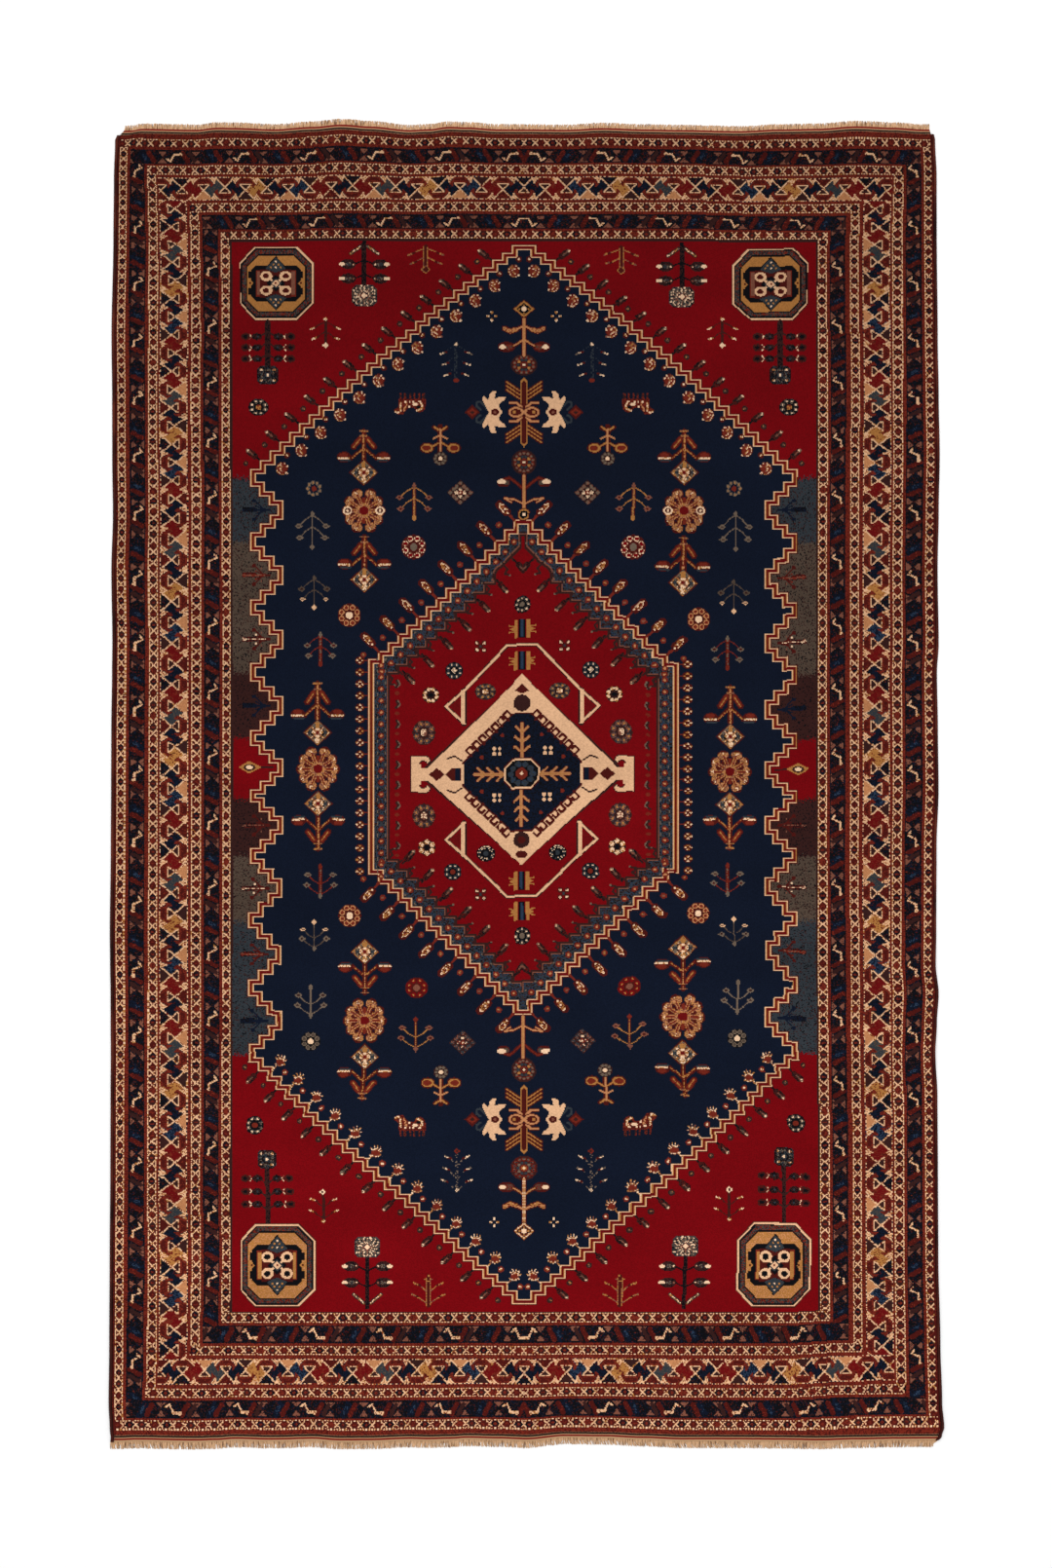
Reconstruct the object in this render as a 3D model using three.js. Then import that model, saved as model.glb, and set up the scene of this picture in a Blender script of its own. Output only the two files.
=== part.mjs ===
// Hand-knotted pile rug lying flat on the floor, as a scene of five named meshes:
// the knotted cloth with its flat-woven ends, an overcast selvedge down each long side,
// and a row of cut warp ends at each short end.
// Units are millimetres. X runs across the rug, Y along it towards the far end, Z up from the floor.
import * as THREE from 'three';

// Plan sizes, from the middle of the rug to the straight lines that its uneven edges follow
const HALF_WIDTH = 807;
const HALF_LENGTH = 1292;

// Cloth
const PILE_TOP = 9;
const KILIM_TOP = 3;
const KILIM_FAR = 10;
const KILIM_NEAR = 13;
const SHOULDER_DROP = 1.5;
const SHOULDER_REACH = 5;
const PILE_STEP = 0.8;

// Selvedge, a flattened cord of overcast wool
const SELVEDGE_WIDTH = 7;
const SELVEDGE_TOP = 6.5;
const SELVEDGE_SIDE_TOP = 4.6;
const SELVEDGE_SIDE_FOOT = 1.6;

// Fringe, locks of cut warp on a narrow strip
const FRINGE_FAR = 9.5;
const FRINGE_NEAR = 12;
const FRINGE_TOP = 2.4;
const STRIP_WIDTH = 3;
const LOCKS = 120;
const LOCK_FILL = 0.84;
const LOCK_TAPER = 0.8;
const LOCK_SLANT = 0.35;
const LOCK_UNEVEN = 1.6;

// Room between neighbouring pieces
const GAP = 0.3;

// Mesh steps across and along the cloth
const STEPS_ACROSS = 30;
const STEPS_ALONG = 42;

// How far in from an edge its wandering is still felt
const WANDER_REACH = 110;

// How far each long side lies outside its straight line, at places along the rug
const SIDE_WANDER = [
  { at: -1290, left: 7.0, right: -11.0 },
  { at: -1272, left: 5.0, right: 4.3 },
  { at: -1255, left: 6.8, right: 8.9 },
  { at: -1207, left: 8.9, right: 4.9 },
  { at: -1093, left: 7.7, right: 1.4 },
  { at: -922, left: 6.8, right: -2.7 },
  { at: -751, left: 5.6, right: -3.5 },
  { at: -609, left: 5.2, right: -4.4 },
  { at: -523, left: 4.7, right: -8.6 },
  { at: -466, left: 5.1, right: -5.4 },
  { at: -409, left: 5.2, right: -2.0 },
  { at: -352, left: 6.0, right: -7.9 },
  { at: -295, left: 6.6, right: -6.7 },
  { at: -124, left: 4.7, right: -6.2 },
  { at: -10, left: 4.1, right: -2.2 },
  { at: 104, left: 3.7, right: -3.5 },
  { at: 218, left: 2.2, right: -5.4 },
  { at: 275, left: 1.6, right: -2.0 },
  { at: 417, left: 3.5, right: -4.1 },
  { at: 531, left: 0.3, right: -2.0 },
  { at: 645, left: 1.8, right: 0.1 },
  { at: 759, left: 2.0, right: -2.0 },
  { at: 873, left: 3.2, right: -3.9 },
  { at: 1073, left: -0.5, right: -5.8 },
  { at: 1187, left: -1.6, right: -6.0 },
  { at: 1262, left: -3.8, right: -9.0 },
  { at: 1272, left: -7.0, right: -11.0 },
  { at: 1285, left: -16.0, right: -14.0 },
];

// How far each short end lies outside its straight line, at places across the rug
const END_WANDER = [
  { at: -785, far: -7.0, near: 4.8 },
  { at: -760, far: -3.0, near: 3.6 },
  { at: -646, far: -5.1, near: 5.7 },
  { at: -608, far: -0.6, near: 4.6 },
  { at: -570, far: -1.1, near: 1.7 },
  { at: -494, far: -4.2, near: 3.6 },
  { at: -418, far: 1.1, near: 1.5 },
  { at: -361, far: 6.2, near: 5.3 },
  { at: -304, far: 1.9, near: 4.9 },
  { at: -228, far: -5.7, near: 1.7 },
  { at: -190, far: -3.8, near: 2.7 },
  { at: -152, far: 1.3, near: 1.7 },
  { at: -114, far: 0.0, near: -0.6 },
  { at: -57, far: -4.2, near: 0.8 },
  { at: 0, far: -4.4, near: 3.0 },
  { at: 76, far: -5.1, near: -4.6 },
  { at: 152, far: -1.5, near: -3.8 },
  { at: 228, far: -4.4, near: -0.2 },
  { at: 304, far: -5.7, near: 3.0 },
  { at: 418, far: -8.2, near: 3.0 },
  { at: 494, far: -4.4, near: 3.8 },
  { at: 570, far: -3.0, near: 5.1 },
  { at: 646, far: 2.3, near: 3.0 },
  { at: 722, far: -0.6, near: 1.5 },
  { at: 785, far: -4.5, near: 1.0 },
];

// Low ripples where the cloth is drawn in: the middle of each, how far it spreads, and its rise
const RIPPLES = [
  { x: -430, y: 1150, across: 70, along: 105, rise: 2.0 },
  { x: -265, y: 1155, across: 60, along: 100, rise: 2.4 },
  { x: -60, y: 1160, across: 70, along: 95, rise: 1.8 },
  { x: 330, y: 1160, across: 120, along: 95, rise: 1.6 },
  { x: 80, y: -1150, across: 90, along: 105, rise: 2.6 },
  { x: -240, y: -1160, across: 70, along: 95, rise: 1.8 },
  { x: 770, y: -520, across: 150, along: 55, rise: 3.0 },
  { x: 770, y: -350, across: 130, along: 50, rise: 2.4 },
  { x: 760, y: -150, across: 120, along: 70, rise: 1.8 },
  { x: -770, y: 560, across: 110, along: 90, rise: 1.6 },
  { x: 720, y: -1120, across: 100, along: 80, rise: 2.2 },
];

// Lines worked out from the sizes above
const CLOTH_HALF_WIDTH = HALF_WIDTH - SELVEDGE_WIDTH - GAP;
const CLOTH_FAR = HALF_LENGTH - FRINGE_FAR;
const CLOTH_NEAR = -(HALF_LENGTH - FRINGE_NEAR);
const PILE_FAR = CLOTH_FAR - KILIM_FAR;
const PILE_NEAR = CLOTH_NEAR + KILIM_NEAR;

// Value of one column of a table at any place between its rows, eased from row to row
function tableValue(table, column, at) {
  const next = table.findIndex((row) => row.at > at);
  if (next === 0) {
    return table[0][column];
  }
  if (next === -1) {
    return table[table.length - 1][column];
  }
  const before = table[next - 1];
  const after = table[next];
  const share = (at - before.at) / (after.at - before.at);
  const ease = share * share * (3 - 2 * share);
  return before[column] + ease * (after[column] - before[column]);
}

// Places from one value to another in equal steps
function evenly(from, to, steps) {
  return Array.from({ length: steps + 1 }, (_, step) => from + ((to - from) * step) / steps);
}

// Share of an edge's wandering that is felt at a distance in from that edge
function wanderFelt(distance) {
  return Math.exp(-Math.max(distance, 0) / WANDER_REACH);
}

// Height of the ripples over the floor
function rippleHeight(x, y) {
  let height = 0;
  for (const ripple of RIPPLES) {
    const across = Math.min(Math.abs(x - ripple.x) / ripple.across, 1);
    const along = Math.min(Math.abs(y - ripple.y) / ripple.along, 1);
    height += (ripple.rise * (1 + Math.cos(Math.PI * across)) * (1 + Math.cos(Math.PI * along))) / 4;
  }
  return height;
}

// A point of the straight-edged rug, moved to where it lies on the real, uneven one
function laid(x, y, z) {
  const right = tableValue(SIDE_WANDER, 'right', y) * wanderFelt(HALF_WIDTH - x);
  const left = tableValue(SIDE_WANDER, 'left', y) * wanderFelt(HALF_WIDTH + x);
  const far = tableValue(END_WANDER, 'far', x) * wanderFelt(HALF_LENGTH - y);
  const near = tableValue(END_WANDER, 'near', x) * wanderFelt(HALF_LENGTH + y);
  return new THREE.Vector3(x + right - left, y + far - near, z + rippleHeight(x, y));
}

// Closed solid between an upper and a lower height over a grid of places, both laid as the rug lies
function closedSheet(across, along, upperHeight, lowerHeight) {
  const points = [];
  for (const height of [upperHeight, lowerHeight]) {
    for (const y of along) {
      for (const x of across) {
        points.push(laid(x, y, height(x, y)));
      }
    }
  }
  const columns = across.length;
  const rows = along.length;
  const upper = (column, row) => row * columns + column;
  const lower = (column, row) => columns * rows + upper(column, row);
  const faces = [];
  const quad = (a, b, c, d) => faces.push(a, b, c, a, c, d);
  for (let row = 0; row + 1 < rows; row += 1) {
    for (let column = 0; column + 1 < columns; column += 1) {
      const next = column + 1;
      const beyond = row + 1;
      quad(upper(column, row), upper(next, row), upper(next, beyond), upper(column, beyond));
      quad(lower(column, beyond), lower(next, beyond), lower(next, row), lower(column, row));
    }
  }
  for (let column = 0; column + 1 < columns; column += 1) {
    const next = column + 1;
    const last = rows - 1;
    quad(lower(column, 0), lower(next, 0), upper(next, 0), upper(column, 0));
    quad(lower(next, last), lower(column, last), upper(column, last), upper(next, last));
  }
  for (let row = 0; row + 1 < rows; row += 1) {
    const beyond = row + 1;
    const last = columns - 1;
    quad(lower(0, beyond), lower(0, row), upper(0, row), upper(0, beyond));
    quad(lower(last, row), lower(last, beyond), upper(last, beyond), upper(last, row));
  }
  const geometry = new THREE.BufferGeometry().setFromPoints(points);
  geometry.setIndex(faces);
  geometry.computeVertexNormals();
  return geometry;
}

function namedMesh(name, geometry, material) {
  const mesh = new THREE.Mesh(geometry, material);
  mesh.name = name;
  return mesh;
}

// Mesh lines of the cloth, closer at its shoulders and at the steps down to the flat-woven ends
const clothColumns = [
  -CLOTH_HALF_WIDTH,
  ...evenly(-CLOTH_HALF_WIDTH + SHOULDER_REACH, CLOTH_HALF_WIDTH - SHOULDER_REACH, STEPS_ACROSS),
  CLOTH_HALF_WIDTH,
];
const pileRows = [
  PILE_NEAR,
  ...evenly(PILE_NEAR + SHOULDER_REACH, PILE_FAR - SHOULDER_REACH, STEPS_ALONG),
  PILE_FAR,
];
const clothRows = [CLOTH_NEAR, PILE_NEAR - PILE_STEP, ...pileRows, PILE_FAR + PILE_STEP, CLOTH_FAR];

// Upper face of the cloth: low at the flat-woven ends, full over the pile, rounded at the pile's rim
function clothHeight(x, y) {
  if (y < PILE_NEAR || y > PILE_FAR) {
    return KILIM_TOP;
  }
  const fromRim = Math.min(CLOTH_HALF_WIDTH - Math.abs(x), y - PILE_NEAR, PILE_FAR - y);
  const onShoulder = Math.max(0, 1 - fromRim / SHOULDER_REACH);
  return PILE_TOP - SHOULDER_DROP * onShoulder;
}

// Knotted cloth with its flat-woven ends
function rugBody() {
  const wool = new THREE.MeshStandardMaterial({ color: 0x5e1216, roughness: 0.95, metalness: 0 });
  const floor = () => 0;
  return namedMesh('rug_body', closedSheet(clothColumns, clothRows, clothHeight, floor), wool);
}

// Selvedge down one long side, from the near end of the cloth to the far end of the pile
function selvedge(name, side) {
  const wool = new THREE.MeshStandardMaterial({ color: 0x3c1512, roughness: 0.95, metalness: 0 });
  const inner = CLOTH_HALF_WIDTH + GAP;
  const places = evenly(0, SELVEDGE_WIDTH, 4).map((step) => side * (inner + step));
  const columns = places.sort((one, other) => one - other);
  const rows = [CLOTH_NEAR, PILE_NEAR - PILE_STEP, ...pileRows];
  const middle = side * (inner + SELVEDGE_WIDTH / 2);
  const toSide = (x) => Math.abs(x - middle) / (SELVEDGE_WIDTH / 2);
  const crown = (x) => SELVEDGE_TOP - (SELVEDGE_TOP - SELVEDGE_SIDE_TOP) * toSide(x) ** 2;
  const foot = (x) => (toSide(x) > 0.99 ? SELVEDGE_SIDE_FOOT : 0);
  return namedMesh(name, closedSheet(columns, rows, crown, foot), wool);
}

// Fringe at one short end: a narrow strip along the cloth's edge with its row of slanting locks
function fringe(name, end) {
  const cotton = new THREE.MeshStandardMaterial({ color: 0xc9a98a, roughness: 1, metalness: 0 });
  const root = end.clothEdge + end.outward * GAP;
  const brink = root + end.outward * STRIP_WIDTH;
  const tip = end.outward * HALF_LENGTH;
  const plan = [];
  const mark = (x, y) => {
    const place = laid(x, y, 0);
    plan.push(new THREE.Vector2(place.x, place.y));
  };
  mark(-end.halfWidth, root);
  for (const x of clothColumns.slice(1, -1)) {
    mark(x, root);
  }
  mark(end.halfWidth, root);
  const pitch = (2 * end.halfWidth) / LOCKS;
  const halfRoot = (pitch * LOCK_FILL) / 2;
  const halfTip = halfRoot * LOCK_TAPER;
  for (let lock = LOCKS - 1; lock >= 0; lock -= 1) {
    const middle = -end.halfWidth + (lock + 0.5) * pitch;
    const shorter = LOCK_UNEVEN * (0.5 + 0.5 * Math.sin(2.4 * lock) * Math.cos(0.7 * lock));
    const tipLine = tip - end.outward * shorter;
    const lean = LOCK_SLANT * Math.abs(tipLine - brink);
    const tipMiddle = Math.min(middle + lean, end.halfWidth - halfTip);
    mark(middle + halfRoot, brink);
    mark(tipMiddle + halfTip, tipLine);
    mark(tipMiddle - halfTip, tipLine);
    mark(middle - halfRoot, brink);
  }
  const shape = new THREE.Shape(plan);
  const geometry = new THREE.ExtrudeGeometry(shape, { depth: FRINGE_TOP, bevelEnabled: false });
  return namedMesh(name, geometry, cotton);
}

const rug = new THREE.Group();
rug.add(rugBody());
rug.add(selvedge('selvedge_left', -1));
rug.add(selvedge('selvedge_right', 1));
rug.add(fringe('fringe_far', { clothEdge: CLOTH_FAR, outward: 1, halfWidth: CLOTH_HALF_WIDTH }));
rug.add(fringe('fringe_near', { clothEdge: CLOTH_NEAR, outward: -1, halfWidth: HALF_WIDTH }));

// The origin is on the floor under the middle of the rug's own outline
const outline = new THREE.Box3().setFromObject(rug, true);
rug.position.set(-(outline.min.x + outline.max.x) / 2, -(outline.min.y + outline.max.y) / 2, 0);

export default rug;
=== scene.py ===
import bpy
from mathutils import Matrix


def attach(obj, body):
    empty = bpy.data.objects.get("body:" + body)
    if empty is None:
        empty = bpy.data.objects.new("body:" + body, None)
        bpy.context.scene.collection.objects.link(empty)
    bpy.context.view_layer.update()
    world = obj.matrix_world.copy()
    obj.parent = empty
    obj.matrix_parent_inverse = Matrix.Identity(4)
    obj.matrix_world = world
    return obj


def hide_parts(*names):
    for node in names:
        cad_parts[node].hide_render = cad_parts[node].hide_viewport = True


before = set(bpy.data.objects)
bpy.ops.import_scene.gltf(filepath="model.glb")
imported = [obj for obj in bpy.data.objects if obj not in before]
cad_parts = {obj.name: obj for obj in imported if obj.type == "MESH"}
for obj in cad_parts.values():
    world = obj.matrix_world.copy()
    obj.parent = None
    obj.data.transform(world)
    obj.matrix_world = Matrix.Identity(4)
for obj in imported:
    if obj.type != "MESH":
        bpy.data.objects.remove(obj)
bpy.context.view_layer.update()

import copy
import functools
import math
from typing import NamedTuple

import bpy
import numpy as np

# Hand-knotted wool rug lying flat, seen from straight above.
# The weaver's chart is drawn first, one number a knot, and the pile's material reads it knot by knot.

bl_info = {
    "name": "Hand-knotted rug",
    "version": (1, 0, 0),
    "blender": (4, 5, 0),
    "location": "3D Viewport > Sidebar > Rug",
    "description": "Knotted pile, flat-woven ends, selvedges and fringes of a medallion rug",
    "category": "Object",
}

MM = 0.001

# Plan sizes, as in the CAD, from the middle of the rug to its straight edge lines
HALF_WIDTH = 807 * MM
HALF_LENGTH = 1292 * MM
SELVEDGE_WIDTH = 7 * MM
FRINGE_FAR = 9.5 * MM
FRINGE_NEAR = 12 * MM
KILIM_FAR = 10 * MM
KILIM_NEAR = 13 * MM
PIECE_GAP = 0.3 * MM
STRIP_WIDTH = 5 * MM
CLOTH_HALF_WIDTH = HALF_WIDTH - SELVEDGE_WIDTH - PIECE_GAP
CLOTH_FAR = HALF_LENGTH - FRINGE_FAR
CLOTH_NEAR = -(HALF_LENGTH - FRINGE_NEAR)
PILE_FAR = CLOTH_FAR - KILIM_FAR
PILE_NEAR = CLOTH_NEAR + KILIM_NEAR

# The straight-edged rug's middle, from the origin under the middle of the uneven outline
MIDDLE_X = 0.845 * MM
MIDDLE_Y = -0.375 * MM
WANDER_REACH = 110 * MM


class SideWander(NamedTuple):
    """How far each long side lies outside its straight line, in millimetres, at a place along the rug."""

    at: float
    left: float
    right: float


class EndWander(NamedTuple):
    """How far each short end lies outside its straight line, in millimetres, at a place across the rug."""

    at: float
    far: float
    near: float


class Ripple(NamedTuple):
    """A low ripple in the cloth: its middle, how far it spreads and its rise, in millimetres."""

    x: float
    y: float
    across: float
    along: float
    rise: float


SIDE_WANDER = [SideWander(*row) for row in (
    (-1290, 7.0, -11.0), (-1272, 5.0, 4.3), (-1255, 6.8, 8.9), (-1207, 8.9, 4.9), (-1093, 7.7, 1.4),
    (-922, 6.8, -2.7), (-751, 5.6, -3.5), (-609, 5.2, -4.4), (-523, 4.7, -8.6), (-466, 5.1, -5.4),
    (-409, 5.2, -2.0), (-352, 6.0, -7.9), (-295, 6.6, -6.7), (-124, 4.7, -6.2), (-10, 4.1, -2.2),
    (104, 3.7, -3.5), (218, 2.2, -5.4), (275, 1.6, -2.0), (417, 3.5, -4.1), (531, 0.3, -2.0), (645, 1.8, 0.1),
    (759, 2.0, -2.0), (873, 3.2, -3.9), (1073, -0.5, -5.8), (1187, -1.6, -6.0), (1262, -3.8, -9.0),
    (1272, -7.0, -11.0), (1285, -16.0, -14.0),
)]

END_WANDER = [EndWander(*row) for row in (
    (-785, -7.0, 4.8), (-760, -3.0, 3.6), (-646, -5.1, 5.7), (-608, -0.6, 4.6), (-570, -1.1, 1.7),
    (-494, -4.2, 3.6), (-418, 1.1, 1.5), (-361, 6.2, 5.3), (-304, 1.9, 4.9), (-228, -5.7, 1.7),
    (-190, -3.8, 2.7), (-152, 1.3, 1.7), (-114, 0.0, -0.6), (-57, -4.2, 0.8), (0, -4.4, 3.0),
    (76, -5.1, -4.6), (152, -1.5, -3.8), (228, -4.4, -0.2), (304, -5.7, 3.0), (418, -8.2, 3.0),
    (494, -4.4, 3.8), (570, -3.0, 5.1), (646, 2.3, 3.0), (722, -0.6, 1.5), (785, -4.5, 1.0),
)]

RIPPLES = [Ripple(*row) for row in (
    (-430, 1150, 70, 105, 2.0), (-265, 1155, 60, 100, 2.4), (-60, 1160, 70, 95, 1.8),
    (330, 1160, 120, 95, 1.6), (80, -1150, 90, 105, 2.6), (-240, -1160, 70, 95, 1.8),
    (770, -520, 150, 55, 3.0), (770, -350, 130, 50, 2.4), (760, -150, 120, 70, 1.8),
    (-770, 560, 110, 90, 1.6), (720, -1120, 100, 80, 2.2),
)]

# Dyes, by the number that the chart gives a knot
CRIMSON, RED, NAVY, INK, IVORY, TAN, RUST, MAROON = range(8)
BROWN, BLUE, SLATE, OLIVE, ROSE, FAWN, AMBER, PEACH = range(8, 16)
DYE_COUNT = 16

# The chart is numbered as in the photograph: one knot is one of its pixels
FIRST_COLUMN = 120
FIRST_ROW = 135
KNOT_COLUMNS = 840
KNOT_ROWS = 1336
AXIS = 537.5

# A face of the pile's mesh holds a square of knots, six knots to each of its three numbers
FACE_KNOTS = 4
KNOTS_PER_NUMBER = 6
PILE_PARTS = 6

# Points across and along the flat ends, and those of the fringes' root strips
KILIM_POINTS = (281, 7)
STRIP_POINTS = (421, 3)


def linear(hex_colour):
    """Linear colour of an sRGB hex value: c / 12.92 below 0.04045, else ((c + 0.055) / 1.055) to the 2.4."""
    channels = [int(hex_colour[place : place + 2], 16) / 255 for place in (0, 2, 4)]
    return tuple(c / 12.92 if c <= 0.04045 else ((c + 0.055) / 1.055) ** 2.4 for c in channels)


def dye(name, description, hex_colour):
    """Colour property of one dyed wool."""
    colour = {"subtype": "COLOR", "size": 3, "min": 0, "max": 1, "default": linear(hex_colour)}
    return bpy.props.FloatVectorProperty(name=name, description=description, **colour)


def metres(name, description, default):
    """Property that is a length."""
    return bpy.props.FloatProperty(name=name, description=description, default=default, unit="LENGTH")


class RugDyes(bpy.types.PropertyGroup):
    """Wools of the pile, in the order of the chart's dye numbers"""

    crimson: dye("Crimson", "Ground of the corners and the medallion", "72040b")
    red: dye("Red", "Line beside the ivory steps", "640c0e")
    navy: dye("Navy", "Ground of the field", "0e1525")
    ink: dye("Ink", "Darkest wool, in outlines", "0d0c10")
    ivory: dye("Ivory", "Undyed wool of the lines", "e0b088")
    tan: dye("Tan", "Ground of the corner octagons", "a8703a")
    rust: dye("Rust", "Petals and hooks", "6e2418")
    maroon: dye("Maroon", "Plain stripes between the borders", "4a1410")
    brown: dye("Brown", "Lobes along the sides", "341b19")
    blue: dye("Blue", "Border figures", "27364a")
    slate: dye("Slate", "Lobes and small petals", "2f3439")
    olive: dye("Olive", "Lobes along the sides", "4e4036")
    rose: dye("Rose", "Triangles of the dark borders", "7a4a3a")
    fawn: dye("Fawn", "Bands of the octagons", "6a5a4c")
    amber: dye("Amber", "Large flowers and stems", "b97c52")
    peach: dye("Peach", "Lightest petals", "edc6a2")


class RugSizes(bpy.types.PropertyGroup):
    """Thicknesses and pitches of the rug's yarns and pile"""

    pile_top: metres("Pile top", "Height of the pile over the floor", 9 * MM)
    rim_drop: metres("Rim drop", "How much lower the pile is at its rim", 1.5 * MM)
    kilim_top: metres("Kilim top", "Thickness of the flat-woven ends", 3 * MM)
    selvedge_top: metres("Selvedge top", "Height of the overcast cords", 6.5 * MM)
    wrap_pitch: metres("Wrap pitch", "Distance between the side wraps", 3 * MM)
    yarn_width: metres("Yarn width", "Width of a cut warp end at its root", 2.1 * MM)
    yarn_ends: bpy.props.IntProperty(
        name="Yarn ends", description="Cut warp ends in each fringe, two for each knot", default=1680
    )
    lens: bpy.props.FloatProperty(
        name="Lens", description="Focal length of the camera above the rug", default=80, unit="CAMERA"
    )


class KnotChart:
    """The weaver's chart: the dye number of every knot, drawn in the photograph's pixel numbers.

    Shapes are drawn from its place, a column and a row. Side and down say which way x and y run from there,
    and how many knots a step is."""

    def __init__(self, columns, rows, wool, first_column=0, first_row=0):
        self.knots = np.full((rows, columns), wool, np.uint8)
        self.columns = np.arange(columns)[None, :] + first_column + 0.5
        self.rows = np.arange(rows)[:, None] + first_row + 0.5
        self.random = np.random.default_rng(11)
        self.column, self.row, self.side, self.down = 0, 0, 1, 1

    def spot(self, x, y):
        """Column and row of a point: the place plus side times x, and plus down times y."""
        return self.column + self.side * x, self.row + self.down * y

    def at(self, x, y, side=1, down=1):
        """The same chart with its place moved, and turned over or stretched from there."""
        moved = copy.copy(self)
        moved.column, moved.row = self.spot(x, y)
        moved.side, moved.down = self.side * side, self.down * down
        return moved

    def sides(self):
        """To the left and to the right of the place."""
        return self.at(0, 0, -1), self

    def ends(self):
        """Up and down from the place."""
        return self.at(0, 0, 1, -1), self

    def quarters(self):
        """Up and down on both sides of the place."""
        return [end for side in self.sides() for end in side.ends()]

    def put(self, knots, here, wool):
        """Ties knots of one wool under a mask, or of several wools mixed by chance."""
        knots[here] = self.random.choice(wool, here.sum()) if isinstance(wool, tuple) else wool

    def part(self, left, right, far, near):
        """The knots whose middles lie between two columns and two rows, with those middles."""
        across = slice(*np.searchsorted(self.columns[0], (left, right)))
        down = slice(*np.searchsorted(self.rows[:, 0], (far, near)))
        return self.knots[down, across], self.columns[:, across], self.rows[down]

    def block(self, left, right, far, near, wool):
        """A rectangle: left <= column < right and far <= row < near."""
        across, down = zip(self.spot(left, far), self.spot(right, near))
        self.part(*sorted(across), *sorted(down))[0][:] = wool

    def oval(self, x, y, across, along, wool, *more):
        """An ellipse: (dx / across)^2 + (dy / along)^2 <= 1. More sizes and wools lie over it."""
        column, row = self.spot(x, y)
        knots, columns, rows = self.part(column - across, column + across, row - along, row + along)
        self.put(knots, ((columns - column) / across) ** 2 + ((rows - row) / along) ** 2 <= 1, wool)
        if more:
            self.oval(x, y, *more)

    def dots(self, places, across, along, wool):
        """The same ellipse at several places."""
        for x, y in places:
            self.oval(x, y, across, along, wool)

    def diamond(self, x, y, across, along, wool, *more):
        """A lozenge: |dx| / across + |dy| / along <= 1. More sizes and wools lie over it."""
        column, row = self.spot(x, y)
        knots, columns, rows = self.part(column - across, column + across, row - along, row + along)
        self.put(knots, np.abs(columns - column) / across + np.abs(rows - row) / along <= 1, wool)
        if more:
            self.diamond(x, y, *more)

    def inside(self, points):
        """Mask of the knots in a polygon: those with an odd number of its sides to their left."""
        mask = np.zeros(self.knots.shape, bool)
        corners = np.array([self.spot(*point) for point in points], float)
        for (x0, y0), (x1, y1) in zip(corners, np.roll(corners, -1, axis=0)):
            first, last = np.searchsorted(self.rows[:, 0], sorted((y0, y1)))
            if last > first:
                crossing = x0 + (self.rows[first:last] - y0) * (x1 - x0) / (y1 - y0)
                mask[first:last] ^= self.columns > crossing
        return mask

    def fill(self, points, wool):
        """A polygon in one wool."""
        self.put(self.knots, self.inside(points), wool)

    def octagon(self, across, along, cut, wool):
        """An octagon round the place, its corners cut off by the same length across and along."""
        right = [(across - cut, -along), (across, cut - along), (across, along - cut), (across - cut, along)]
        self.fill(right + [(-x, y) for x, y in right[::-1]], wool)

    def line(self, points, width, wool, *more):
        """A line of a given width: the knots at most half the width away from the nearest stretch.
        More widths and wools lie over it."""
        corners = np.array([self.spot(*point) for point in points], float)
        low, high = corners.min(axis=0) - width, corners.max(axis=0) + width
        knots, columns, rows = self.part(low[0], high[0], low[1], high[1])
        nearest = np.full(knots.shape, np.inf)
        for (x0, y0), (x1, y1) in zip(corners[:-1], corners[1:]):
            length = (x1 - x0) ** 2 + (y1 - y0) ** 2
            share = ((columns - x0) * (x1 - x0) + (rows - y0) * (y1 - y0)) / max(length, 1e-9)
            share = np.clip(share, 0, 1)
            away = np.hypot(columns - x0 - share * (x1 - x0), rows - y0 - share * (y1 - y0))
            nearest = np.minimum(nearest, away)
        self.put(knots, nearest <= width / 2, wool)
        if more:
            self.line(points, *more)

    def turn_over(self, left, far, near):
        """Copies the knots left of the axis to its right, turned over about it, between two rows."""
        across = slice(*np.searchsorted(self.columns[0], (left, AXIS - 0.2)))
        down = slice(*np.searchsorted(self.rows[:, 0], (far, near)))
        half = self.knots[down, across]
        self.knots[down, across.stop + 1 : across.stop + 1 + half.shape[1]] = half[:, ::-1]


def around(count, turned=0.0):
    """Directions set evenly round a middle: (cos t, sin t) with t = 2 pi (k + turned) / count."""
    turns = [2 * math.pi * (number + turned) / count for number in range(count)]
    return [(math.cos(turn), math.sin(turn)) for turn in turns]


class Band(NamedTuple):
    """A stripe of the border: where it starts on each side of the rug, and its ground."""

    left: float
    right: float
    far: float
    near: float
    wool: int


# Wools that were tied in turn, knot by knot, so that they blend to the eye
ROSY = (PEACH, ROSE)
PINKISH = (PEACH, ROSE, TAN)
GREYISH = (SLATE, INK, OLIVE, FAWN)
DUSKY = (SLATE, INK, INK, BROWN)

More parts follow.
